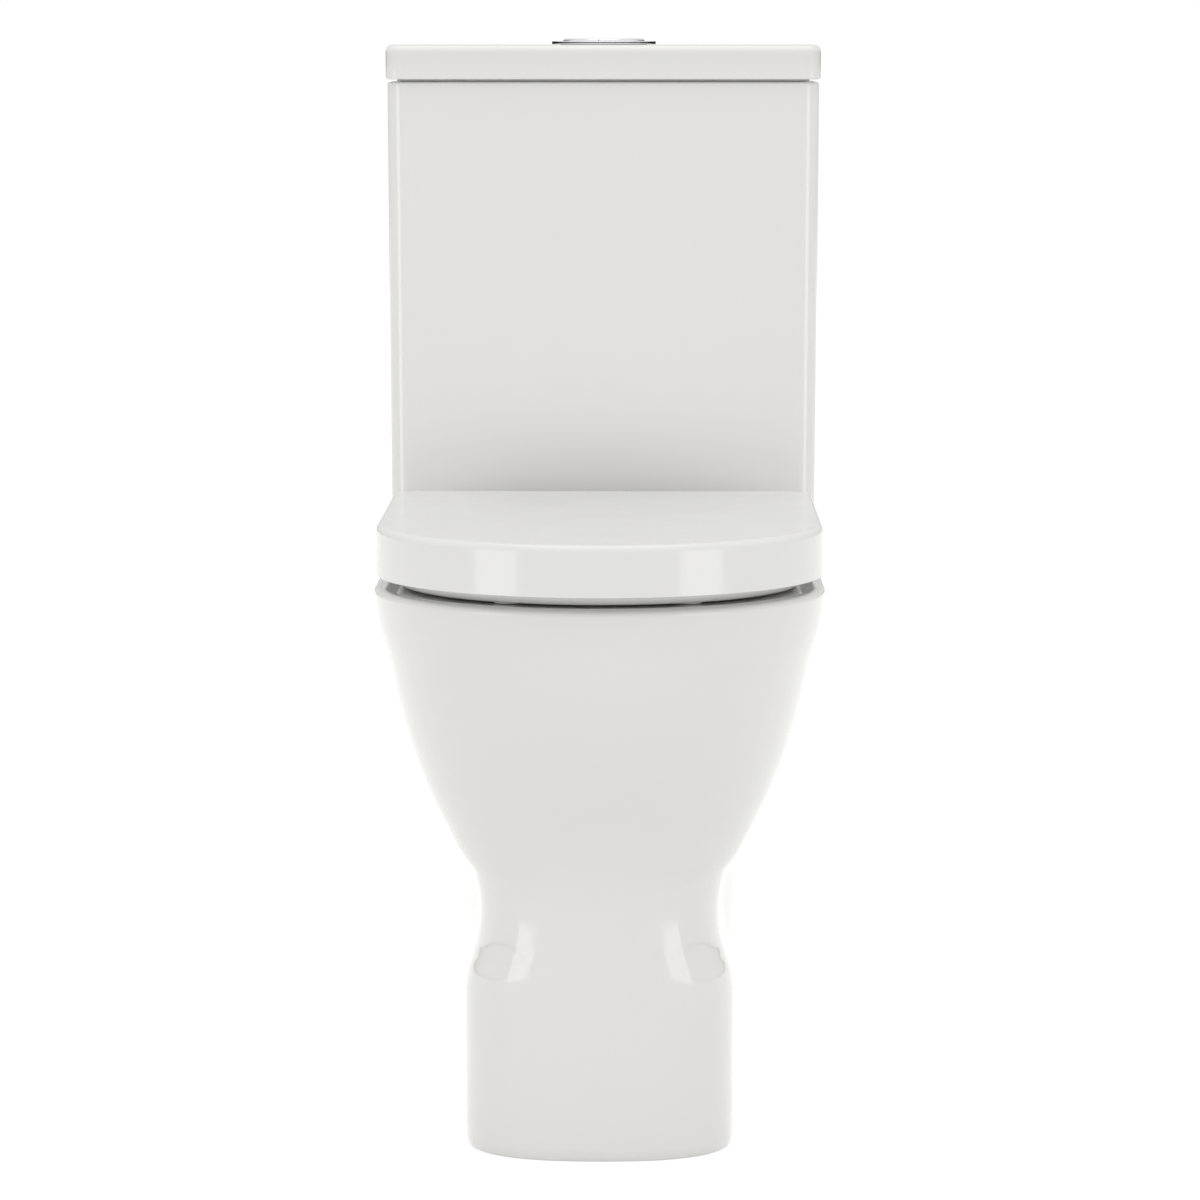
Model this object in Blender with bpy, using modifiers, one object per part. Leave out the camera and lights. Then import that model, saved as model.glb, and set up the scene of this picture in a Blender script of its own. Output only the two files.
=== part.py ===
"""Close coupled toilet: pan, cistern, seat, dual flush valve, fill valve and fixings.

Metres, +Z up, the front faces -Y. The origin is on the floor, at the centre of the plan.
"""

import math

import bmesh
import bpy
from mathutils import Matrix, Vector

# ---------------------------------------------------------------- driving dimensions
WIDTH = 0.360                # cistern lid, the widest piece
DEPTH = 0.620                # front of the seat lid to the wall
LID_TOP_Z = 0.850            # top of the cistern lid
RIM_Z = 0.436                # top of the pan's rim, deck and shelf
GAP = 0.0003                 # clearance between touching pieces

FRONT_Y = -DEPTH / 2
WALL_Y = DEPTH / 2

# Pan
WALL = 0.010                 # ceramic wall
DECK = 0.022                 # thickness of the deck and shelf
DECK_UNDER_Z = RIM_Z - DECK
OUTLET_Z = 0.180             # centre of the outlet spigot
OUTLET_END_Y = 0.260
OUTLET_RADIUS = 0.050
SPIGOT_Y = 0.202             # where the spigot starts
SPIGOT_BORE = 0.040
TRAP_RADIUS = 0.038
TRAP_BORE = 0.029
TRAP_BEND = 0.045            # radius of the trap's bends
TRAP_CLIMB = math.radians(60)
TRAP_RISE = 0.0774           # straight length up to the weir
TRAP_FALL = 0.0427           # straight length down from it
TRAP_START_Y = -0.065
TRAP_DIP_Y = -0.014          # where the trap starts to climb
SUMP_Z = 0.150               # centre of the way out of the sump
SUMP_TOP_Z = 0.285
HOLE = 0.006                 # radius of a coupling bolt hole
STUD_HOLE = 0.007            # radius of a seat stud hole
INLET_RADIUS = 0.040         # where the flush drops into the duct
PASSAGE = (-0.035, 0.035, 0.020, 0.266, 0.362, 0.402)    # inside of the flushing duct
DUCT = (-0.045, 0.045, 0.030, 0.276, 0.352)              # its outside, up to the deck

# Cistern
CISTERN_BASE_Z = 0.448
CISTERN_TOP_Z = 0.8195
CISTERN_FLOOR = 0.010
FLOOR_TOP_Z = CISTERN_BASE_Z + CISTERN_FLOOR
CISTERN_BACK_Y = WALL_Y - 0.001
VALVE_HOLE = 0.0325          # radius of the flush valve's hole
FILL_HOLE = 0.0112           # radius of the fill valve's hole

# Cistern lid
LID_BASE_Z = 0.8215
LID_FRONT_Y = 0.145
LID_ROOF = 0.010
LIP_END_Z = 0.8110           # foot of the locating lip
BEZEL_HOLE = 0.0370          # radius of the button's hole

# Plan positions shared by several pieces
VALVE = (0.0, 0.230)         # flush valve, button and pan inlet
FILL = (-0.135, 0.230)       # fill valve
BOLT_X = 0.075               # coupling bolts, at VALVE's Y
HINGE = (0.0775, 0.085, 0.458)
SIDE_FIX = (0.1071, 0.030, 0.035)    # on the foot's outer face
CAP_DEPTH = 0.0062           # the side cap sits flush in a round recess
CAP_RADIUS = 0.0088

# Seat
SEAT_TOP_Z = 0.485
SEAT_EDGE_Z = 0.446
SEAT_HALF = 0.1725
SEAT_SHOULDER_Y = -0.145
SEAT_BACK_Y = 0.103
SEAT_SHELL = 0.0045
RING_BASE_Z = 0.440
RING_TOP_Z = 0.466

# Detail of the outlines
FRONT_STEPS = 10
SIDE_STEPS = 7
CORNER_STEPS = 4

CERAMIC = ("glazed_ceramic", (0.87, 0.865, 0.85), 0.08, 0.0)
SEAT_PLASTIC = ("seat_plastic", (0.88, 0.88, 0.87), 0.15, 0.0)
CHROME = ("chrome", (0.80, 0.80, 0.81), 0.08, 1.0)
VALVE_PLASTIC = ("valve_plastic", (0.75, 0.76, 0.77), 0.45, 0.0)
BLUE_PLASTIC = ("blue_plastic", (0.08, 0.22, 0.50), 0.45, 0.0)
DARK_PLASTIC = ("dark_plastic", (0.06, 0.06, 0.065), 0.50, 0.0)
RUBBER = ("rubber", (0.03, 0.03, 0.03), 0.80, 0.0)
PALE_RUBBER = ("pale_rubber", (0.70, 0.70, 0.68), 0.60, 0.0)
BRASS = ("brass", (0.70, 0.52, 0.25), 0.30, 1.0)
STEEL = ("steel", (0.62, 0.62, 0.63), 0.30, 1.0)


# ---------------------------------------------------------------- scene and finish
def clear_scene():
    for obj in list(bpy.data.objects):
        bpy.data.objects.remove(obj, do_unlink=True)


def collection(name):
    group = bpy.data.collections.get(name) or bpy.data.collections.new(name)
    if name not in bpy.context.scene.collection.children:
        bpy.context.scene.collection.children.link(group)
    return group


def place(obj, group):
    for old in list(obj.users_collection):
        old.objects.unlink(obj)
    collection(group).objects.link(obj)
    return obj


def material(name, rgb, roughness, metallic):
    mat = bpy.data.materials.get(name)
    if mat is None:
        mat = bpy.data.materials.new(name)
        mat.use_nodes = True
        shader = mat.node_tree.nodes["Principled BSDF"]
        shader.inputs["Base Color"].default_value = (*rgb, 1.0)
        shader.inputs["Roughness"].default_value = roughness
        shader.inputs["Metallic"].default_value = metallic
    return mat


def finish(obj, name, look):
    """Names a piece, dresses it and puts it with the toilet's parts."""
    obj.name = name
    obj.data.name = name
    obj.data.materials.clear()
    obj.data.materials.append(material(*look))
    obj.data.shade_smooth()
    obj.data.set_sharp_from_angle(angle=math.radians(35))
    return place(obj, "close_coupled_toilet")


def move_origin(obj, point):
    """Puts the object's origin on a joint's axis without moving the piece."""
    offset = Vector(point) - obj.location
    obj.data.transform(Matrix.Translation(-offset))
    obj.location = point
    return obj


# ---------------------------------------------------------------- modelling tools
def from_bmesh(bm, name="shape"):
    mesh = bpy.data.meshes.new(name)
    bm.to_mesh(mesh)
    bm.free()
    return place(bpy.data.objects.new(name, mesh), "close_coupled_toilet")


def cutter(obj):
    obj.hide_render = True
    obj.display_type = "WIRE"
    return place(obj, "cutters")


def combine(obj, other, operation):
    modifier = obj.modifiers.new(operation.lower(), "BOOLEAN")
    modifier.operation = operation
    modifier.solver = "EXACT"
    modifier.object = cutter(other)
    return obj


def cut(obj, *others):
    for other in others:
        combine(obj, other, "DIFFERENCE")
    return obj


def join(obj, *others):
    for other in others:
        combine(obj, other, "UNION")
    return obj


def block(x0, x1, y0, y1, z0, z1, bevel=0.0):
    """A box between two corners, with its edges rounded by an optional Bevel."""
    bm = bmesh.new()
    bmesh.ops.create_cube(bm, size=1.0)
    size = Vector((x1 - x0, y1 - y0, z1 - z0))
    bmesh.ops.scale(bm, vec=size, verts=bm.verts)
    centre = Vector(((x0 + x1) / 2, (y0 + y1) / 2, (z0 + z1) / 2))
    bmesh.ops.translate(bm, vec=centre, verts=bm.verts)
    obj = from_bmesh(bm)
    if bevel:
        modifier = obj.modifiers.new("edge", "BEVEL")
        modifier.width = bevel
        modifier.segments = 1
    return obj


def tapered_box(base, top, z0, z1, corner, steps=5, edge=0.0):
    """A box whose foot and head differ, with round upright corners and a round top edge.

    base and top are (half width, front y, back y).
    """
    bm = bmesh.new()
    bmesh.ops.create_cube(bm, size=2.0)
    for vert in bm.verts:
        half, front, back = base if vert.co.z < 0 else top
        z = z0 if vert.co.z < 0 else z1
        y = front if vert.co.y < 0 else back
        vert.co = Vector((math.copysign(half, vert.co.x), y, z))
    upright = [e for e in bm.edges if abs(e.verts[0].co.z - e.verts[1].co.z) > 1e-6]
    bmesh.ops.bevel(bm, geom=upright, offset=corner, segments=steps, profile=0.5, affect="EDGES")
    if edge:
        rim = [e for e in bm.edges if all(abs(v.co.z - z1) < 1e-6 for v in e.verts)]
        bmesh.ops.bevel(bm, geom=rim, offset=edge, segments=3, profile=0.5, affect="EDGES")
    return from_bmesh(bm)


def rod(radius, x, y, z0, z1, sides=16):
    """An upright cylinder; six sides make a hexagon."""
    bm = bmesh.new()
    bmesh.ops.create_cone(bm, cap_ends=True, segments=sides, radius1=radius, radius2=radius,
                          depth=z1 - z0)
    bmesh.ops.translate(bm, vec=(x, y, (z0 + z1) / 2), verts=bm.verts)
    return from_bmesh(bm)


def cross_rod(radius, y, z, x0, x1, sides=16):
    """A cylinder along X."""
    obj = rod(radius, 0.0, 0.0, x0, x1, sides)
    obj.data.transform(Matrix.Translation((0.0, y, z)) @ Matrix.Rotation(math.pi / 2, 4, "Y"))
    return obj


def turned(profile, x=0.0, y=0.0, closed=True, steps=24):
    """A turned piece about an upright axis. The profile runs down its outer side."""
    mesh = bpy.data.meshes.new("profile")
    count = len(profile)
    edges = [(i, i + 1) for i in range(count - 1)]
    if closed:
        edges.append((count - 1, 0))
    mesh.from_pydata([(r, 0.0, z) for r, z in profile], edges, [])
    obj = place(bpy.data.objects.new("profile", mesh), "close_coupled_toilet")
    modifier = obj.modifiers.new("turn", "SCREW")
    modifier.axis = "Z"
    modifier.steps = steps
    modifier.render_steps = steps
    modifier.use_merge_vertices = True
    modifier.merge_threshold = 0.00005
    obj.location = (x, y, 0.0)
    return obj


def ring(inner, outer, z0, z1, x=0.0, y=0.0, steps=20):
    """A plain washer or sleeve."""
    return turned([(outer, z1), (outer, z0), (inner, z0), (inner, z1)], x, y, steps=steps)


def as_mesh(obj):
    """Replaces an object by the welded mesh that its modifiers or curve give."""
    depsgraph = bpy.context.evaluated_depsgraph_get()
    mesh = bpy.data.meshes.new_from_object(obj.evaluated_get(depsgraph))
    bm = bmesh.new()
    bm.from_mesh(mesh)
    bmesh.ops.remove_doubles(bm, verts=bm.verts, dist=0.00002)
    bm.to_mesh(mesh)
    bm.free()
    solid = bpy.data.objects.new(obj.name, mesh)
    solid.matrix_world = obj.matrix_world.copy()
    place(solid, "close_coupled_toilet")
    bpy.data.objects.remove(obj, do_unlink=True)
    return solid


def pipe(path, radius):
    """A solid round bar along a path: a curve with a bevel, made a mesh."""
    curve = bpy.data.curves.new("pipe", "CURVE")
    curve.dimensions = "3D"
    spline = curve.splines.new("POLY")
    spline.points.add(len(path) - 1)
    for point, place_at in zip(spline.points, path):
        point.co = (*place_at, 1.0)
    curve.bevel_depth = radius
    curve.bevel_resolution = 5
    curve.use_fill_caps = True
    obj = place(bpy.data.objects.new("pipe", curve), "close_coupled_toilet")
    bpy.context.view_layer.update()
    return as_mesh(obj)


def loft(loops, close_ends=True):
    """Skins loops of equal length. The first is the foot, and each runs the same way round.

    Without close_ends the last loop joins the first one.
    """
    bm = bmesh.new()
    rows = [[bm.verts.new(point) for point in loop] for loop in loops]
    pairs = list(zip(rows, rows[1:]))
    if not close_ends:
        pairs.append((rows[-1], rows[0]))
    for low, high in pairs:
        for i in range(len(low)):
            j = (i + 1) % len(low)
            bm.faces.new((low[i], low[j], high[j], high[i]))
    if close_ends:
        bm.faces.new(list(reversed(rows[0])))
        bm.faces.new(rows[-1])
    bmesh.ops.recalc_face_normals(bm, faces=bm.faces)
    return from_bmesh(bm)


def smooth(t):
    t = min(max(t, 0.0), 1.0)
    return t * t * (3.0 - 2.0 * t)


def plan(front, half, shoulder, back, rear_half=None, taper=(0.0, 1.0), corner=0.02, power=2.0):
    """A plan outline from the front middle round the right side to the back and home.

    The nose is part of an ellipse as deep as shoulder - front. The sides keep half up to
    taper[0], narrow to rear_half by taper[1], and end in round back corners.
    """
    rear_half = half if rear_half is None else rear_half
    right = []
    for i in range(FRONT_STEPS + 1):
        a = math.pi / 2 * i / FRONT_STEPS
        x = half * math.sin(a) ** (2 / power)
        y = shoulder - (shoulder - front) * max(math.cos(a), 0.0) ** (2 / power)
        right.append((x, y))
    straight_end = back - corner
    for i in range(1, SIDE_STEPS + 1):
        y = shoulder + (straight_end - shoulder) * i / SIDE_STEPS
        narrow = smooth((y - taper[0]) / (taper[1] - taper[0]))
        right.append((half + (rear_half - half) * narrow, y))
    end_half = right[-1][0]
    for i in range(1, CORNER_STEPS + 1):
        a = math.pi / 2 * i / CORNER_STEPS
        right.append((end_half - corner + corner * math.cos(a), straight_end + corner * math.sin(a)))
    right.append((0.0, back))
    left = [(-x, y) for x, y in reversed(right[1:-1])]
    return right + left


def at(outline, z):
    return [(x, y, z) for x, y in outline]


def both_sides(make, name):
    """Makes a piece on the left, then on the right."""
    for tag, side in (("l", -1), ("r", 1)):
        make(f"{name}_{tag}", side)


# ---------------------------------------------------------------- pan
# z, front y, half width, shoulder y, rear half width, taper start, taper end, back y
PAN_SECTIONS = (
    (0.000, -0.2200, 0.1013, -0.145, 0.1044, -0.145, -0.02, 0.150),
    (0.004, -0.2228, 0.1038, -0.145, 0.1069, -0.145, -0.02, 0.152),
    (0.070, -0.2235, 0.1043, -0.145, 0.1075, -0.145, -0.02, 0.152),
    (0.122, -0.2235, 0.1047, -0.145, 0.1080, -0.145, -0.02, 0.152),
    (0.136, -0.2234, 0.1030, -0.145, 0.1082, -0.145, -0.02, 0.153),
    (0.151, -0.2231, 0.0985, -0.145, 0.1084, -0.145, -0.02, 0.155),
    (0.166, -0.2227, 0.0946, -0.145, 0.1085, -0.145, -0.02, 0.157),
    (0.185, -0.2225, 0.0931, -0.145, 0.1086, -0.145, -0.02, 0.160),
    (0.213, -0.2240, 0.0975, -0.142, 0.1090, -0.142, -0.02, 0.167),
    (0.226, -0.2265, 0.1070, -0.140, 0.1105, -0.130, -0.01, 0.172),
    (0.250, -0.2345, 0.1200, -0.138, 0.1150, -0.120, 0.00, 0.185),
    (0.281, -0.2500, 0.1350, -0.135, 0.1150, -0.090, 0.03, 0.203),
    (0.313, -0.2660, 0.1470, -0.133, 0.1150, -0.060, 0.06, 0.224),
    (0.344, -0.2785, 0.1560, -0.130, 0.1150, -0.030, 0.08, 0.246),
    (0.376, -0.2870, 0.1630, -0.130, 0.1150, -0.010, 0.10, 0.268),
    (0.409, -0.2925, 0.1720, -0.130, 0.1150, 0.000, 0.11, 0.290),
    (0.428, -0.2950, 0.1750, -0.130, 0.1150, 0.000, 0.11, 0.298),
    (0.434, -0.2945, 0.1744, -0.130, 0.1144, 0.000, 0.11, 0.2975),
    (0.436, -0.2920, 0.1720, -0.130, 0.1120, 0.000, 0.11, 0.295),
)
FOOT_POWER = 2.5             # the foot's nose is squarer than the bowl's
HOLLOW_PAST = 0.03           # the hollow runs out through the floor and the back

# z, front y, back y, half width
BOWL_SECTIONS = (
    (0.121, -0.0800, -0.0350, 0.0240),
    (0.130, -0.0900, -0.0250, 0.0340),
    (0.165, -0.1050, -0.0150, 0.0440),
    (0.205, -0.1250, -0.0080, 0.0540),
    (0.245, -0.1650, 0.0050, 0.0740),
    (0.285, -0.2080, 0.0200, 0.1000),
    (0.330, -0.2400, 0.0330, 0.1210),
    (0.380, -0.2540, 0.0400, 0.1320),
    (0.420, -0.2550, 0.0400, 0.1330),
    (0.440, -0.2525, 0.0375, 0.1305),
)
BOWL_STEPS = 32


def pan_loop(section, z, grow=0.0, past_back=0.0):
    _, front, half, shoulder, rear_half, taper_start, taper_end, back = section
    power = FOOT_POWER + (2.0 - FOOT_POWER) * smooth((section[0] - 0.15) / 0.10)
    outline = plan(front - grow, half + grow, shoulder, back + past_back, rear_half + grow,
                   (taper_start, taper_end), power=power)
    return at(outline, z)


def bowl_loop(section, grow=0.0):
    z, front, back, half = section
    middle, reach = (front + back) / 2, (back - front) / 2 + grow
    points = []
    for i in range(BOWL_STEPS):
        a = 2 * math.pi * i / BOWL_STEPS
        points.append(((half + grow) * math.sin(a), middle - reach * math.cos(a), z))
    return points


def pan_body():
    return loft([pan_loop(section, section[0]) for section in PAN_SECTIONS])


def pan_hollow():
    """The space inside the foot and under the shelf, open to the floor and to the back."""
    loops = [pan_loop(PAN_SECTIONS[0], -HOLLOW_PAST, -WALL, HOLLOW_PAST)]
    for section in PAN_SECTIONS[1:]:
        if section[0] < DECK_UNDER_Z:
            loops.append(pan_loop(section, section[0], -WALL, HOLLOW_PAST))
    loops.append(pan_loop(PAN_SECTIONS[-4], DECK_UNDER_Z, -WALL, HOLLOW_PAST))
    return loft(loops)


def bowl_shell(grow):
    """The bowl's outer form, grow away from its inside."""
    return loft([bowl_loop((section[0] - grow, *section[1:]), grow) for section in BOWL_SECTIONS])


def bowl_cavity():
    return loft([bowl_loop(section) for section in BOWL_SECTIONS])


def slab(z0, z1):
    """A slab wider than the whole pan."""
    return block(-0.5, 0.5, -0.5, 0.5, z0, z1)


def arc(path, heading, radius, turn, steps):
    """Adds an arc in the YZ plane to a path and returns the new heading."""
    side = 1 if turn > 0 else -1
    _, y, z = path[-1]
    cy, cz = y - side * radius * math.sin(heading), z + side * radius * math.cos(heading)
    for i in range(1, steps + 1):
        a = heading + turn * i / steps
        path.append((0.0, cy + side * radius * math.sin(a), cz - side * radius * math.cos(a)))
    return heading + turn


def run(path, heading, length):
    _, y, z = path[-1]
    path.append((0.0, y + length * math.cos(heading), z + length * math.sin(heading)))


def trapway(start_y, end_y):
    """Centre line of the trap: out of the sump, up over the weir and down to the spigot."""
    path = [(0.0, start_y, SUMP_Z)]
    run(path, 0.0, TRAP_DIP_Y - start_y)
    heading = arc(path, 0.0, TRAP_BEND, TRAP_CLIMB, 4)
    run(path, heading, TRAP_RISE)
    heading = arc(path, heading, TRAP_BEND, -2 * TRAP_CLIMB, 8)
    run(path, heading, TRAP_FALL)
    arc(path, heading, TRAP_BEND, TRAP_CLIMB, 4)
    path[-1] = (0.0, path[-1][1], OUTLET_Z)
    path.append((0.0, end_y, OUTLET_Z))
    return path


def trap_bore():
    return pipe(trapway(TRAP_START_Y, OUTLET_END_Y + 0.01), TRAP_BORE)


def flush_passage():
    return block(*PASSAGE)


def make_pan_skirt():
    """The casting's outer wall: foot, waist and flare, open below and behind."""
    skirt = pan_body()
    cut(skirt, pan_hollow(), slab(DECK_UNDER_Z - GAP, 0.5))
    face, y, z = SIDE_FIX
    for side in (-1, 1):
        cut(skirt, cross_rod(0.003, y, z, side * face - 0.02, side * face + 0.02, 12))
        recess = sorted((side * (face - CAP_DEPTH), side * (face + 0.01)))
        cut(skirt, cross_rod(CAP_RADIUS + 0.0005, y, z, *recess, 24))
    finish(skirt, "pan_skirt", CERAMIC)


def make_pan_deck():
    """The casting's rim and shelf, with the flushing duct below them."""
    deck = pan_body()
    cut(deck, slab(-0.1, DECK_UNDER_Z))
    duct = block(*DUCT, DECK_UNDER_Z + 0.004)
    cut(duct, bowl_shell(WALL + GAP))
    join(deck, duct)
    cut(deck, bowl_cavity(), flush_passage(), rod(INLET_RADIUS, *VALVE, 0.380, RIM_Z + 0.01, 24))
    for side in (-1, 1):
        cut(deck, rod(HOLE, side * BOLT_X, VALVE[1], DECK_UNDER_Z - 0.01, RIM_Z + 0.01))
        cut(deck, rod(STUD_HOLE, side * HINGE[0], HINGE[1], DECK_UNDER_Z - 0.01, RIM_Z + 0.01))
    finish(deck, "pan_deck", CERAMIC)


def make_pan_bowl(name, low, high):
    """A level of the casting's bowl, open to the trap and to the flushing duct."""
    bowl = bowl_shell(WALL)
    cut(bowl, slab(high, 0.5), slab(-0.1, low), bowl_cavity(), trap_bore(), flush_passage())
    finish(bowl, name, CERAMIC)


def make_pan_trapway():
    """The casting's trap and its outlet spigot."""
    trap = pipe(trapway(TRAP_START_Y, SPIGOT_Y + 0.01), TRAP_RADIUS)
    join(trap, pipe([(0.0, SPIGOT_Y, OUTLET_Z), (0.0, OUTLET_END_Y, OUTLET_Z)], OUTLET_RADIUS))
    mouth = pipe([(0.0, SPIGOT_Y + WALL, OUTLET_Z), (0.0, OUTLET_END_Y + 0.01, OUTLET_Z)], SPIGOT_BORE)
    cut(trap, bowl_shell(WALL + GAP), trap_bore(), mouth)
    finish(trap, "pan_trapway", CERAMIC)


# ---------------------------------------------------------------- cistern
def make_cistern():
    outer = tapered_box((0.1772, 0.1530, CISTERN_BACK_Y), (0.1790, 0.1500, CISTERN_BACK_Y),
                        CISTERN_BASE_Z, CISTERN_TOP_Z, 0.014)
    inner = tapered_box((0.1672, 0.1630, 0.2990), (0.1690, 0.1600, 0.2990),
                        FLOOR_TOP_Z, CISTERN_TOP_Z + 0.02, 0.008, 3)
    cut(outer, inner)
    below, above = CISTERN_BASE_Z - 0.01, FLOOR_TOP_Z + 0.01
    cut(outer, rod(VALVE_HOLE, *VALVE, below, above, 24), rod(FILL_HOLE, *FILL, below, above))
    for side in (-1, 1):
        cut(outer, rod(HOLE, side * BOLT_X, VALVE[1], below, above))
    return finish(outer, "cistern", CERAMIC)


def make_cistern_lid():
    """A shallow tray: a thick skirt with a shadow gap, a bearing step and a locating lip."""
    skirt = (WIDTH / 2, LID_FRONT_Y, WALL_Y)
    lid = tapered_box(skirt, skirt, LID_BASE_Z, LID_TOP_Z, 0.012, 5, 0.0055)
    step_z = CISTERN_TOP_Z + GAP
    step = (WIDTH / 2 - 0.0055, LID_FRONT_Y + 0.0095, WALL_Y - 0.0055)
    join(lid, tapered_box(step, step, step_z, LID_BASE_Z + 0.005, 0.010, 3))
    lip = (0.1660, 0.1630, 0.2960)
    join(lid, tapered_box(lip, lip, LIP_END_Z, LID_BASE_Z + 0.006, 0.008, 3))
    recess = (0.1580, 0.1710, 0.2880)
    cut(lid, tapered_box(recess, recess, 0.8000, LID_TOP_Z - LID_ROOF, 0.006, 3))
    cut(lid, rod(BEZEL_HOLE, *VALVE, 0.8300, LID_TOP_Z + 0.01, 32))
    return finish(lid, "cistern_lid", CERAMIC)


# ---------------------------------------------------------------- dual flush button
BUTTON_RADIUS = 0.0342
BUTTON_TOP_Z = 0.8550
BUTTON_BASE_Z = 0.8465
BUTTON_SPLIT_X = -0.0037
ROD_END_Z = 0.7400
BARREL_END_Z = 0.8220
FLANGE_Z = 0.8520


def make_bezel():
    under = LID_TOP_Z + GAP
    profile = [(0.0428, FLANGE_Z), (0.0437, FLANGE_Z - 0.0008), (0.0437, under),
               (0.0365, under), (0.0365, BARREL_END_Z), (0.0345, BARREL_END_Z),
               (0.0345, FLANGE_Z - 0.0010), (0.0352, FLANGE_Z)]
    finish(turned(profile, *VALVE, steps=40), "button_bezel", CHROME)
    roof = LID_TOP_Z - LID_ROOF
    nut = ring(0.0369, 0.0460, roof - 0.0075, roof - GAP, *VALVE, steps=40)
    finish(nut, "button_nut", VALVE_PLASTIC)


def make_button(name, side):
    """One half of the round cap and its push rod. side is +1 for the wider, full flush half."""
    profile = [(0.0, BUTTON_TOP_Z), (BUTTON_RADIUS - 0.0015, BUTTON_TOP_Z - 0.0002),
               (BUTTON_RADIUS, BUTTON_TOP_Z - 0.0014), (BUTTON_RADIUS, BUTTON_BASE_Z),
               (0.0, BUTTON_BASE_Z)]
    cap = turned(profile, *VALVE, closed=False, steps=40)
    slit = BUTTON_SPLIT_X + side * 0.0005
    far = side * -0.05
    y = VALVE[1]
    cut(cap, block(min(slit, far), max(slit, far), y - 0.05, y + 0.05, 0.84, 0.86))
    finish(cap, f"{name}_button", CHROME)
    rod_x = 0.015 if side > 0 else -0.019
    push = rod(0.0025, rod_x, y, ROD_END_Z, BUTTON_BASE_Z - GAP, 10)
    finish(move_origin(push, (rod_x, y, BUTTON_BASE_Z)), f"{name}_rod", VALVE_PLASTIC)


# ---------------------------------------------------------------- flush valve
CAGE_TOP_Z = 0.6400
CAGE_RADIUS = 0.0330
TUBE_TOP_Z = 0.7200
SEAT_Z = 0.4650


def make_flush_valve():
    tail_end = 0.4100
    flange = FLOOR_TOP_Z + GAP
    profile = [(CAGE_RADIUS, CAGE_TOP_Z), (CAGE_RADIUS, flange + 0.004), (0.0400, flange + 0.004),
               (0.0400, flange), (0.0300, flange), (0.0300, tail_end), (0.0255, tail_end),
               (0.0255, SEAT_Z - 0.0045), (0.0220, SEAT_Z - 0.0045), (0.0220, SEAT_Z),
               (0.0300, SEAT_Z), (0.0300, CAGE_TOP_Z - 0.004), (0.0125, CAGE_TOP_Z - 0.004),
               (0.0125, CAGE_TOP_Z)]
    body = turned(profile, *VALVE, steps=28)
    x, y = VALVE
    for z0, z1 in ((SEAT_Z + 0.004, 0.530), (0.560, 0.610)):
        cut(body, block(x - 0.04, x + 0.04, y - 0.014, y + 0.014, z0, z1))
        cut(body, block(x - 0.014, x + 0.014, y - 0.04, y + 0.04, z0, z1))
    finish(body, "flush_valve_body", VALVE_PLASTIC)
    nut = ring(0.0303, 0.0420, CISTERN_BASE_Z - 0.0095, CISTERN_BASE_Z - GAP, *VALVE, steps=28)
    finish(nut, "flush_valve_nut", DARK_PLASTIC)


def make_overflow_tube():
    tube = ring(0.0090, 0.0115, SEAT_Z + 0.0030, TUBE_TOP_Z, *VALVE, steps=20)
    finish(tube, "overflow_tube", BLUE_PLASTIC)
    seal = ring(0.0118, 0.0260, SEAT_Z + GAP, SEAT_Z + 0.0038, *VALVE)
    finish(seal, "flush_seal", RUBBER)
    float_ring = ring(0.0118, 0.0250, CAGE_TOP_Z + 0.0100, CAGE_TOP_Z + 0.0450, *VALVE)
    finish(float_ring, "half_flush_float", BLUE_PLASTIC)


# ---------------------------------------------------------------- fill valve
RISER = 0.0095
RISER_TOP_Z = 0.7000
TAIL_RADIUS = 0.0103         # the tail that carries the back nut and the supply
LEVER_Z = 0.7350
LEVER_PIN = 0.0012           # radius of the pin moulded on the fork
LEVER_PIVOT_X = FILL[0] + 0.0250
FLOAT_ROD_X = LEVER_PIVOT_X + 0.0300
LEVER_DROOP = math.radians(30)   # the lever hangs this far down while the cistern is empty
FLOAT_DROP = (FLOAT_ROD_X - LEVER_PIVOT_X) * math.sin(LEVER_DROOP)
FLOAT_Z = (0.6000 - FLOAT_DROP, 0.6600 - FLOAT_DROP)


def make_fill_valve():
    flange = FLOOR_TOP_Z + 0.0031
    profile = [(RISER, RISER_TOP_Z), (RISER, flange + 0.004), (0.0165, flange + 0.004),
               (0.0165, flange), (TAIL_RADIUS, flange), (TAIL_RADIUS, 0.3950), (0.0060, 0.3950),
               (0.0060, RISER_TOP_Z)]
    finish(turned(profile, *FILL, steps=20), "fill_valve_body", VALVE_PLASTIC)
    gasket = ring(TAIL_RADIUS + GAP, 0.0165, FLOOR_TOP_Z + GAP, flange - GAP, *FILL, steps=20)
    finish(gasket, "fill_valve_gasket", RUBBER)
    nut = rod(0.0155, *FILL, CISTERN_BASE_Z - 0.0140, CISTERN_BASE_Z - GAP, 6)
    cut(nut, rod(TAIL_RADIUS + GAP, *FILL, 0.42, 0.46, 20))
    finish(nut, "fill_valve_nut", VALVE_PLASTIC)


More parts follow.
